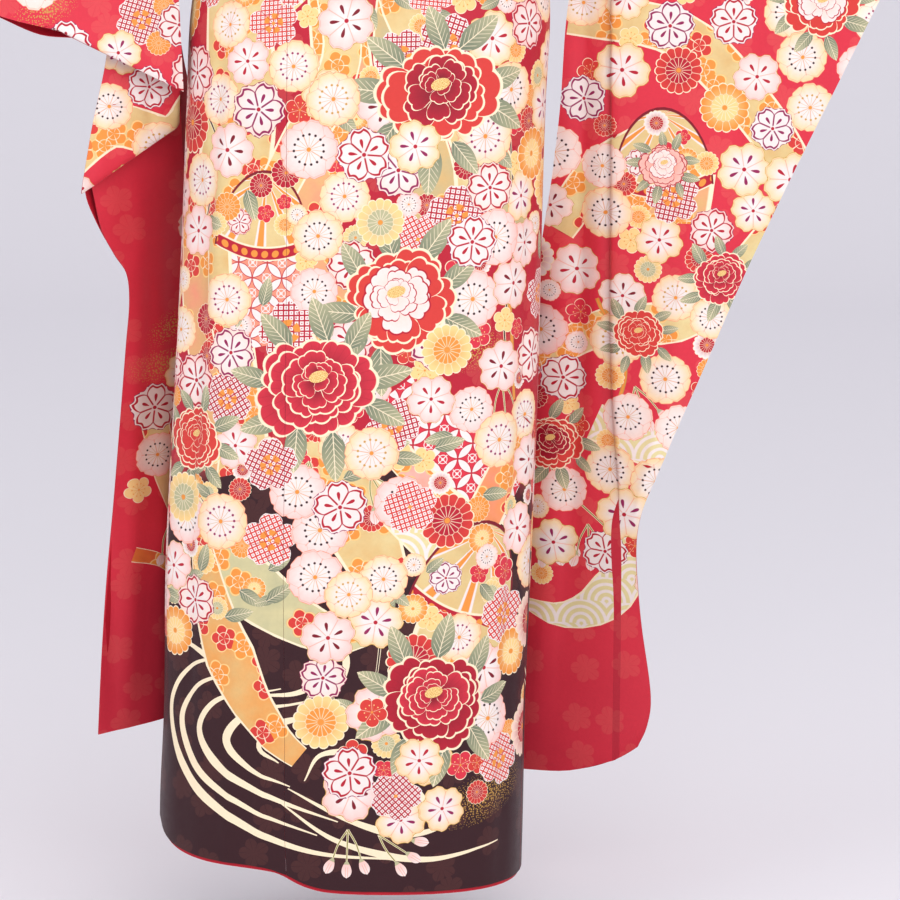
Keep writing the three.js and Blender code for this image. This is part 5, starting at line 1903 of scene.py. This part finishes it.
def whole(*spots: tuple[Array, Array]) -> Array:
    """A point and its print place as one row of numbers."""
    return np.array([np.concatenate(s) for s in spots])


PLEAT_COLUMNS = (5, 6)  # columns of the long sleeve's front at the pleat's root and fold
RIGHT_SLEEVE_TURNS = (21, 14.4, 12.4, 10, 7.25, 0.2)  # rows between which its front cloth turns over
PLEAT_PAINTED_SHADE, FOLD_PAINTED_SHADE = 0.3, 0.35  # how much painted shade darkens the colour inside the pleat and inside the folds
HEM_ROLL = ((3.2, -2.5), (3.1, 0), (2.9, 2.4), (2.7, 3.9))  # how far inside the wrap, how far below the hem


# ------------------------------------------------------------------ the pieces
@dataclass
class Robe:
    """The kimono's sewn pieces.

    Attributes:
        dyes: The shared materials.
        grain: Largest step of the visible grid, in mm.
        skirt_levels: Levels up a body cloth's skirt.
        yoke_levels: Levels from there to the shoulder.
        columns: Columns across a body cloth.
        seam_free: Share of its width left free at a seam.
        okumi_free: The same at the seam of the outer narrow panel.
        okumi_levels: Levels up a narrow panel.
        okumi_columns: Columns across a narrow panel.
        okumi_lap: Share of its width left free at its seam.
        row_step: Step between the rows of the long sleeve.
        made: Pieces made so far, by name.
    """

    dyes: Dyes
    grain: float = 7.0
    skirt_levels: int = 46
    yoke_levels: int = 24
    columns: int = 17
    seam_free: float = 0.0014
    okumi_free: float = 0.0004
    okumi_levels: int = 56
    okumi_columns: int = 9
    okumi_lap: float = 0.0009
    row_step: float = 0.25
    made: dict[str, bpy.types.Object] = field(default_factory=dict)

    def keep(self, sewn: Sewn, flat: tuple[float, float], held: str, rests_on: Sequence[str] = (),
             slot: str = "printed_silk", area: Optional[float] = None) -> bpy.types.Object:
        """Joins a piece to the frame.

        Args:
            sewn: The piece.
            flat: Width and length of its cut, in metres; not used.
            held: How it is held; not used.
            rests_on: What it lies on or hangs from; not used.
            slot: Its colour slot; not used.
            area: Flat area, where the cut isn't a rectangle; not used.

        Returns:
            The object.
        """
        obj = sewn.finish()
        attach(obj, "root")
        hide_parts(sewn.name.removeprefix("cloth_"))
        self.made[sewn.name] = obj
        return obj

    def body(self, left: bool, front: Layout, back: Layout) -> None:
        """One side of the body: a single length from the front hem over the shoulder to the back hem.

        Args:
            left: Whether it is the wearer's left side.
            front: The front's print.
            back: The back's print.
        """
        sewn = Sewn(f"cloth_body_{'left' if left else 'right'}", self.dyes)
        halves = BodyHalf(left, True), BodyHalf(left, False)
        levels = np.concatenate([np.linspace(0, SKIRT_SHARE, self.skirt_levels)[:-1],
                                 np.linspace(SKIRT_SHARE, 1, self.yoke_levels)])
        free = self.okumi_free if left else self.seam_free
        across = np.clip(np.linspace(0, 1, self.columns), free, 1 - self.seam_free)
        fronts = np.array([whole(*(halves[0].spot(u, h) for u in across)) for h in levels])
        backs = np.array([whole(*(halves[1].spot(u, h) for u in across)) for h in levels[::-1]])
        grid = finer(np.concatenate([fronts, backs[1:]]), 0, self.grain)
        crest = int(np.argmax(grid[:, :, 4].mean(axis=1)))
        grid = finer(grid, 1, self.grain)
        points, prints = grid[..., :3], grid[..., 3:].copy()
        # The back's print is its own from the crest on.
        back_prints = prints.copy()
        side = backs[0, :, 3]
        us = np.linspace(0, 1, back_prints.shape[1])
        back_prints[crest, :, 0] = np.interp(us, np.linspace(0, 1, self.columns), side)
        sign = self.outward(points[: crest // 2], np.array([0, -1, 0]))
        points = lifted(points, prints, SKIRT_CREASES, sign)
        outer, inner, n = self.sides(points, sign)
        sewn.printed(outer[: crest + 1], n[: crest + 1], prints[: crest + 1], front)
        sewn.printed(outer[crest:], n[crest:], back_prints[crest:], back)
        self.line(sewn, outer, inner, n, prints, sign)
        self.keep(sewn, (0.30, 2.74), "draped", ["obi"])

    def refined(self, grid: Array) -> Array:
        """The grid with no step larger than the grain either way."""
        return finer(finer(grid, 0, self.grain), 1, self.grain)

    @staticmethod
    def sides(points: Array, sign: float) -> tuple[Array, Array, Array]:
        """The silk's right side, its wrong side and its normals."""
        n = normals_of(points) * sign
        return points + n * SILK / 2, points - n * SILK / 2, n

    def line(self, sewn: Sewn, outer: Array, inner: Array, n: Array, prints: Array, sign: float,
             back: Optional[bpy.types.Material] = None) -> None:
        """Lines a piece and folds its edges."""
        sewn.plain(inner, -n, prints, back or self.dyes.get(Kind.LINING), sign > 0)
        self.rims(sewn, outer, inner, prints, sign)

    def rims(self, sewn: Sewn, outer: Array, inner: Array, prints: Array, sign: float) -> None:
        """The folded edges between the right side and the lining.

        Args:
            sewn: The piece.
            outer: Its right side.
            inner: Its wrong side.
            prints: Its print places.
            sign: 1 where columns crossed with rows look outward, else -1.
        """
        lining = self.dyes.get(Kind.LINING)
        for rows, columns, way in ((slice(0, 1), slice(None), 1), (slice(-1, None), slice(None), -1),
                                   (slice(None), slice(0, 1), -1), (slice(None), slice(-1, None), 1)):
            o, i = outer[rows, columns].reshape(-1, 3), inner[rows, columns].reshape(-1, 3)
            strip = np.stack([o, i])
            side = np.cross(np.gradient(strip, axis=1), (i - o)[None]) * -way * sign
            side /= np.maximum(np.linalg.norm(side, axis=-1, keepdims=True), 1e-9)
            flat = prints[rows, columns].reshape(-1, 2)
            sewn.plain(strip, side, np.stack([flat, flat]), lining, way * sign > 0)

    @staticmethod
    def outward(points: Array, hint: Array) -> float:
        """1 where columns crossed with rows point along a hint, else -1."""
        return 1.0 if (normals_of(points) @ hint).mean() > 0 else -1.0

    def okumi(self, left: bool, layout: Layout) -> None:
        """A narrow panel on a front edge.

        Args:
            left: Whether it is the wearer's left panel.
            layout: Its print.
        """
        sewn = Sewn(f"cloth_okumi_{'left' if left else 'right'}", self.dyes)
        across = np.clip(np.linspace(0, 1, self.okumi_columns), self.okumi_lap, 1)
        levels = np.linspace(0, 1, self.okumi_levels)
        grid = np.array([whole(*(okumi_spot(left, u, h) for u in across)) for h in levels])
        grid = self.refined(grid)
        points, prints = grid[..., :3], grid[..., 3:]
        middle = points[: len(points) // 3].mean(axis=(0, 1))
        sign = self.outward(points, np.array([middle[0] + 20, middle[1], 0]))
        points = lifted(points, prints, SKIRT_CREASES, sign)
        outer, inner, n = self.sides(points, sign)
        sewn.printed(outer, n, prints, layout)
        self.line(sewn, outer, inner, n, prints, sign)
        self.keep(sewn, (0.155, 1.08), "draped", ["body_left" if left else "body_right"],
                  area=0.155 if left else 0.13)

    def left_sleeve(self, front: Layout, back: Layout) -> None:
        """The long sleeve with the standing pleat.

        Args:
            front: The front's print.
            back: The back's print.
        """
        sewn = Sewn("cloth_sleeve_left", self.dyes, plum=False)
        rows = np.arange(15, 0.2, -self.row_step)
        fronts = np.array([LeftSleeve.front(r) for r in rows])
        columns = fronts.shape[1]
        backs = np.array([sleeve_back(LEFT_SLEEVE, r, columns) for r in np.arange(0, 15.1, self.row_step)])
        coarse = np.concatenate([fronts, backs])
        crest = len(rows)
        grid = self.refined(numbered(numbered(coarse, 1), 0))
        points = grid[..., :3]
        column, row = grid[0, :, 3], grid[:, 0, 4]
        top = int(np.argmin(np.abs(row - crest)))
        root, fold = (int(np.argmin(np.abs(column - k))) for k in PLEAT_COLUMNS)
        edge = fold + int(np.argmin(points[: top // 2, fold:fold + 12, 0].mean(axis=0)))
        flat, mirrored = print_spots(points), print_spots(points, -1.0)
        # Beyond the pleat's edge the print never runs back on itself.
        steady = np.maximum.accumulate(flat[: top + 1, edge:, 0], axis=1)
        flat[: top + 1, edge:, 0] = steady + np.arange(flat.shape[1] - edge) * 0.01
        sign = self.outward(points[: top // 2, :root], np.array([0, -1, 0]))
        # The pleat is held still; creases fade in away from it.
        loose = np.clip((np.abs(column - 7.2) - 2.8) / 1.5, 0, 1)[None, :]
        before = np.arange(len(points))[:, None] < top
        loose = np.where(before, loose, 1.0)
        points = lifted(points, np.where(before[..., None], flat, mirrored), LEFT_SLEEVE_CREASES, sign,
                        loose)
        outer, inner, n = self.sides(points, sign)
        front_rows, back_rows = slice(0, top + 1), slice(top, None)
        sewn.printed(outer[front_rows, : root + 1], n[front_rows, : root + 1], flat[front_rows, : root + 1],
                     front)
        # Inside the pleat: plain ground darkened with painted shade.
        sewn.plain(outer[front_rows, root:edge + 1], n[front_rows, root:edge + 1],
                   flat[front_rows, root:edge + 1], self.dyes.get(Kind.GROUND, False), sign < 0, PLEAT_PAINTED_SHADE)
        sewn.printed(outer[front_rows, edge:], n[front_rows, edge:], flat[front_rows, edge:], front)
        sewn.printed(outer[back_rows], n[back_rows], mirrored[back_rows], back)
        self.line(sewn, outer, inner, n, flat, sign)
        self.keep(sewn, (0.34, 2.1), "hung", ["body_left"])

    def right_sleeve(self, droop: Layout, front: Layout, back: Layout) -> None:
        """The other sleeve, folded over itself twice below the arm.

        Args:
            droop: The print of its upper, drooping parts.
            front: The print of its hanging part.
            back: The back's print.
        """
        sewn = Sewn("cloth_sleeve_right", self.dyes, plum=False)
        columns = 13
        stops = RIGHT_SLEEVE_TURNS
        rows, marks = [], []
        for a, b in zip(stops[:-1], stops[1:]):
            steps = max(3, round((a - b) / (0.5 if a > 15 else 0.34)))
            marks.append(len(rows))
            rows += [a + (b - a) * k / steps for k in range(steps)]
        marks.append(len(rows))
        fronts = [right_sleeve_front(r, columns) for r in rows]
        backs = [sleeve_back(RIGHT_SLEEVE_BACK, r, columns) for r in np.arange(0, 16.1, 0.4)]
        coarse = np.array(fronts + backs)
        grid = self.refined(numbered(coarse, 0))
        points, row = grid[..., :3], grid[:, 0, 3]
        cut = [int(np.argmin(np.abs(row - k))) for k in marks]
        flat, mirrored = print_spots(points), print_spots(points, -1.0)
        sign = self.outward(points[: cut[1]], np.array([0, -1, 0]))
        points = lifted(points, np.where(np.arange(len(points))[:, None, None] < cut[-1], flat, mirrored),
                        RIGHT_SLEEVE_CREASES, sign)
        outer, inner, n = self.sides(points, sign)
        for k, layout in enumerate((front, None, droop, None, droop)):
            part = slice(cut[k], cut[k + 1] + 1)
            if layout is None:
                # Where the front cloth turns over: plain ground darkened with painted shade.
                sewn.plain(outer[part], n[part], flat[part], self.dyes.get(Kind.GROUND, False), sign < 0,
                           FOLD_PAINTED_SHADE)
            else:
                sewn.printed(outer[part], n[part], flat[part], layout)
        sewn.printed(outer[cut[-1]:], n[cut[-1]:], mirrored[cut[-1]:], back)
        self.line(sewn, outer, inner, n, flat, sign)
        self.keep(sewn, (0.34, 2.1), "hung", ["body_right"], area=0.52)

    def band(self, name: str, grid: Array, hint: Array, material: bpy.types.Material, thick: float,
             flat: tuple[float, float], held: str, slot: str, rests_on: Sequence[str],
             back: Optional[bpy.types.Material] = None, ring: bool = False,
             layout: Optional[Layout] = None) -> None:
        """A plain strip of cloth.

        Args:
            name: The node it stands for.
            grid: Rows of columns of points in the middle of the cloth.
            hint: A direction its right side faces, at its first row.
            material: The right side's material.
            thick: Thickness in mm.
            flat: Width and length of its cut, in metres.
            held: How it is held.
            slot: Its colour slot.
            rests_on: What it lies on.
            back: The other side's material.
            ring: Whether it closes on itself.
            layout: Its print, if it has one.
        """
        sewn = Sewn(f"cloth_{name}", self.dyes)
        points = self.refined(grid)
        along_u = run_along(points[len(points) // 2])
        along_v = run_along(points[:, points.shape[1] // 2])
        prints = np.stack(np.broadcast_arrays(along_u[None, :], along_v[:, None]), -1)
        sign = self.outward(points[:, :3] if ring else points, hint)
        n = normals_of(points) * sign
        if ring:
            n[:, 0] = n[:, -1] = (n[:, 0] + n[:, -1]) / 2
        outer, inner = points + n * thick / 2, points - n * thick / 2
        if layout is None:
            sewn.plain(outer, n, prints, material, sign < 0)
        else:
            sewn.printed(outer, n, prints, layout)
        self.line(sewn, outer, inner, n, prints, sign, back or material)
        self.keep(sewn, flat, held, rests_on, slot)

    def collar(self) -> None:
        """The collar, from the waist over the nape and back down."""
        across = (0, 0.33, 0.67, 1)
        places = [*np.linspace(1, 7, 13), *np.linspace(7.5, 12, 10)]
        rows = [[collar_spot(True, u, k) for u in across] for k in places]
        rows += [[collar_spot(False, u, k) for u in across] for k in places[-2::-1] if k >= 1.5]
        lay = filler_layout(71, (-10, 70, 0, 900), lambda x: 40.0, 880, 0.8)
        self.band("collar", np.array(rows), np.array([0, 0, 1]), self.dyes.get(Kind.GROUND, False), 2.4,
                  (0.057, 1.0), "folded", "collar_silk", ["body_left", "body_right"],
                  self.dyes.get(Kind.LINING), layout=lay)

    def hip_tuck(self) -> None:
        """The spare length folded up at the hip."""
        top = OBI_BOTTOM - 0.8
        path = ((-2.3, TUCK_TOP), (-2.1, top), (-2, -415), (-2, -430), (-2, TUCK_BOTTOM + 3),
                (-4.2, TUCK_BOTTOM), (-6.4, TUCK_BOTTOM + 3), (-6.4, -430), (-6.4, -415), (-6.4, top))
        turns = np.linspace(-0.226, 0.768, 80)
        grid = np.array([[WRAP.point(t, z, d) for t in turns] for d, z in path])
        self.band("hip_tuck", grid, np.array([0, -1, 0]), self.dyes.get(Kind.GROUND, False), SILK,
                  (1.03, 0.13), "folded", "printed_silk", ["body_left"],
                  layout=filler_layout(79, (-10, 1060, -10, 160), lambda x: -60.0, 150))

    def obi(self, cloth: bpy.types.Material) -> None:
        """The belt, wound round the waist."""
        turns, heights = np.linspace(0, 1, 73), np.linspace(OBI_BOTTOM, OBI_TOP, 9)
        grid = np.array([[WRAP.point(t, z, OBI_DEPTH) for t in turns] for z in heights])
        self.band("obi", grid, np.array([0, -1, 0]), cloth, OBI_THICK, (0.144, 1.03), "stretched",
                  "obi_brocade", ["hip_tuck", "body_left"], ring=True)

    def obi_drum(self, cloth: bpy.types.Material) -> None:
        """The belt's drum bow at the back."""
        across = np.linspace(-DRUM_HALF, DRUM_HALF, 13)
        grid = np.array([[(x, y - DRUM_BOW * abs(x / DRUM_HALF) ** 3, z) for x in across] for y, z in DRUM],
                        float)
        self.band("obi_drum", grid, np.array([0, 1, 0.3]), cloth, OBI_THICK, (0.30, 0.62), "folded",
                  "obi_brocade", ["obi"])

    def hem_roll(self) -> None:
        """The roll of lining that shows under the hem."""
        turns = np.linspace(-0.208, 1.18, 170)
        rows = []
        for depth, down in HEM_ROLL:
            rows.append([WRAP.point(t, HEM.at(t)["z"] - down, WRAP.depth(t) + depth) for t in turns])
        self.band("hem_roll", np.array(rows), np.array([0, -1, 0]), self.dyes.get(Kind.LINING), 1.5,
                  (1.45, 0.0065 + 0.004), "folded", "lining_silk", ["body_left", "body_right"])


# Soft creases, in the print's plane: across and up, in mm.
SKIRT_CREASES = (
    Crease((-146, -440), (-170, -980), 7, -2.6), Crease((-132, -470), (-148, -800), 9, 1.8),
    Crease((184, -470), (176, -900), 8, 2.4), Crease((150, -900), (140, -1290), 9, -2.2),
    Crease((-104, -1060), (-112, -1330), 8, 2.0), Crease((186, -500), (172, -1290), 16, -4.4),
    Crease((140, -470), (158, -860), 12, 2.2), Crease((-176, -560), (-160, -1250), 18, -4.0),
    Crease((-206, -700), (-196, -1180), 12, 3.2), Crease((-120, -470), (-150, -760), 14, 2.4),
    Crease((-72, -1120), (-78, -1330), 9, 3.0), Crease((20, -900), (40, -1330), 26, -2.2),
    Crease((110, -980), (96, -1330), 20, 2.4), Crease((60, -460), (20, -660), 20, -1.8),
    Crease((250, -520), (262, -1300), 20, -4.0), Crease((330, -500), (318, -1180), 26, 3.4),
    Crease((400, -640), (412, -1320), 22, -3.6), Crease((500, -480), (508, -1250), 20, 2.8),
    Crease((590, -560), (578, -1310), 26, -3.4), Crease((680, -480), (700, -1120), 22, 3.6),
    Crease((760, -620), (752, -1300), 18, -3.2), Crease((880, -500), (900, -1250), 24, 2.0),
    Crease((1000, -700), (990, -1300), 22, -2.0),
)
LEFT_SLEEVE_CREASES = (
    Crease((262, -450), (240, -760), 8, 2.4), Crease((204, -700), (198, -1090), 7, -2.2),
    Crease((360, -430), (322, -720), 9, -2.2), Crease((206, -430), (196, -1130), 13, -4.8),
    Crease((226, -500), (222, -960), 10, 2.8), Crease((290, -470), (262, -900), 15, -4.4),
    Crease((332, -440), (296, -820), 17, 3.8), Crease((386, -430), (340, -700), 14, -3.6),
    Crease((440, -420), (396, -600), 15, 3.2), Crease((180, -960), (164, -1210), 17, 3.6),
    Crease((222, -1040), (216, -1240), 15, -3.6), Crease((130, -1040), (120, -1200), 13, -2.6),
    Crease((300, -230), (420, -330), 22, -4.8), Crease((-200, -420), (-180, -1120), 18, -4.0),
    Crease((-290, -430), (-250, -960), 20, 3.8), Crease((-370, -420), (-320, -760), 18, -3.4),
    Crease((-150, -900), (-140, -1200), 16, 3.2),
)
RIGHT_SLEEVE_CREASES = (
    Crease((-250, -700), (-268, -1190), 14, 3.4), Crease((-218, -720), (-216, -1130), 15, -3.6),
    Crease((-170, -860), (-160, -1180), 14, 2.6), Crease((-286, -960), (-284, -1200), 9, -2.0),
    Crease((-500, -330), (-330, -440), 20, -4.4), Crease((-440, -280), (-280, -380), 18, 3.6),
    Crease((-260, -540), (-284, -640), 12, 2.0), Crease((-230, -545), (-232, -600), 9, -2.0),
    Crease((250, -560), (262, -1150), 16, -3.2), Crease((200, -620), (190, -1120), 18, 3.2),
)


# ------------------------------------------------------------------ the room
@dataclass(frozen=True)
class Studio:
    """Pale floor, soft light and the camera.

    Attributes:
        floor_z: Height of the floor, in metres.
        key: Power of the main light, in watts.
        fill: Power of the light on the right.
        side: Power of the light on the left.
        air: Strength of the light from all round.
        paper: Colour of the floor, as linear light.
        lens: Focal length, in mm.
        eye: Where the camera stands.
        aim: Where it looks.
        gamma: How the picture's middle tones are set.
    """

    floor_z: float = -1.435
    key: float = 40.0
    fill: float = 29.0
    side: float = 19.0
    air: float = 0.9
    paper: Colour = (0.83, 0.815, 0.848)
    lens: float = 125.63
    eye: Triple = (0.069, -3.2, -0.45)
    aim: Triple = (0.069, 0.0, -0.924)
    gamma: float = 0.92

    def floor(self) -> None:
        """A pale sweep that runs up behind."""
        pot = Pot("paper sweep")
        end = pot.node("ShaderNodeBsdfPrincipled")
        end.inputs["Base Color"].default_value = (*self.paper, 1)
        end.inputs["Roughness"].default_value = 0.85
        pot.join(pot.node("ShaderNodeOutputMaterial").inputs[0], end.outputs[0])
        wide, front, behind, bend, high = 14.0, -9.0, 9.0, 2.5, 10.0
        rows = [(front, self.floor_z), (behind - bend, self.floor_z)]
        rows += [(behind - bend + bend * math.sin(a),
                  self.floor_z + bend - bend * math.cos(a)) for a in np.linspace(0.1, math.pi / 2, 14)]
        rows.append((behind, high))
        points = [(x, y, z) for y, z in rows for x in (-wide, wide)]
        faces = [(2 * i, 2 * i + 1, 2 * i + 3, 2 * i + 2) for i in range(len(rows) - 1)]
        mesh = bpy.data.meshes.new("sweep")
        mesh.from_pydata(points, [], faces)
        mesh.materials.append(pot.material)
        for face in mesh.polygons:
            face.use_smooth = True
        obj = bpy.data.objects.new("sweep", mesh)
        bpy.context.scene.collection.objects.link(obj)

    @staticmethod
    def lamp(name: str, power: float, size: float, at: Triple, to: Triple) -> None:
        """A large soft light.

        Args:
            name: Its name.
            power: Watts.
            size: Side of the square, in metres.
            at: Where it stands.
            to: Where it points.
        """
        data = bpy.data.lights.new(name, "AREA")
        data.energy, data.size = power, size
        obj = bpy.data.objects.new(name, data)
        obj.location = at
        obj.visible_camera = False
        obj.rotation_euler = (Vector(to) - Vector(at)).to_track_quat("-Z", "Y").to_euler()
        bpy.context.scene.collection.objects.link(obj)

    def build(self) -> None:
        """Sets up floor, lights, air and camera."""
        self.floor()
        self.lamp("key", self.key, 2.0, (0.35, -3.6, 0.8), (0, 0, -0.85))
        self.lamp("fill", self.fill, 2.4, (2.3, -2.6, 0.3), (0, 0, -0.9))
        self.lamp("side", self.side, 1.8, (-2.5, -2.0, 0.1), (-0.3, 0, -0.85))
        world = bpy.data.worlds.new("air")
        world.use_nodes = True
        back = world.node_tree.nodes["Background"]
        back.inputs[0].default_value = (0.97, 0.96, 1.0, 1)
        back.inputs[1].default_value = self.air
        scene = bpy.context.scene
        scene.world = world
        data = bpy.data.cameras.new("camera")
        data.sensor_width, data.lens = 36.0, self.lens
        cam = bpy.data.objects.new("camera", data)
        cam.location = self.eye
        cam.rotation_euler = (Vector(self.aim) - cam.location).to_track_quat("-Z", "Y").to_euler()
        scene.collection.objects.link(cam)
        scene.camera = cam
        scene.view_settings.view_transform = "Standard"
        scene.view_settings.gamma = self.gamma


def main() -> None:
    """Builds the robe in order and reports each piece."""
    logging.basicConfig(level=logging.INFO, format="%(message)s")
    dyes = Dyes()
    robe = Robe(dyes)
    front = front_layout()
    back = filler_layout(53, (225, 820, -1340, 90), lambda x: -1080 + 60 * math.sin(x * 0.012), -60)
    inner = filler_layout(61, (815, 1260, -1340, 90), lambda x: -1040.0, -60, 0.75)
    robe.body(True, front, back)
    robe.okumi(True, front)
    robe.body(False, inner, back)
    robe.okumi(False, inner)
    robe.left_sleeve(left_sleeve_layout(), filler_layout(67, (-570, 0, -1290, -90), lambda x: -1050.0, -330))
    robe.right_sleeve(droop_layout(), right_sleeve_layout(),
                      filler_layout(73, (60, 570, -1260, -90), lambda x: -1010.0, -330, 0.9))
    brocade = Brocade().material("gold brocade")
    robe.collar()
    robe.hip_tuck()
    robe.obi(brocade)
    robe.obi_drum(brocade)
    robe.hem_roll()
    Studio().build()
    LOG.info("%d pieces made", len(robe.made))


if __name__ == "__main__":
    main()
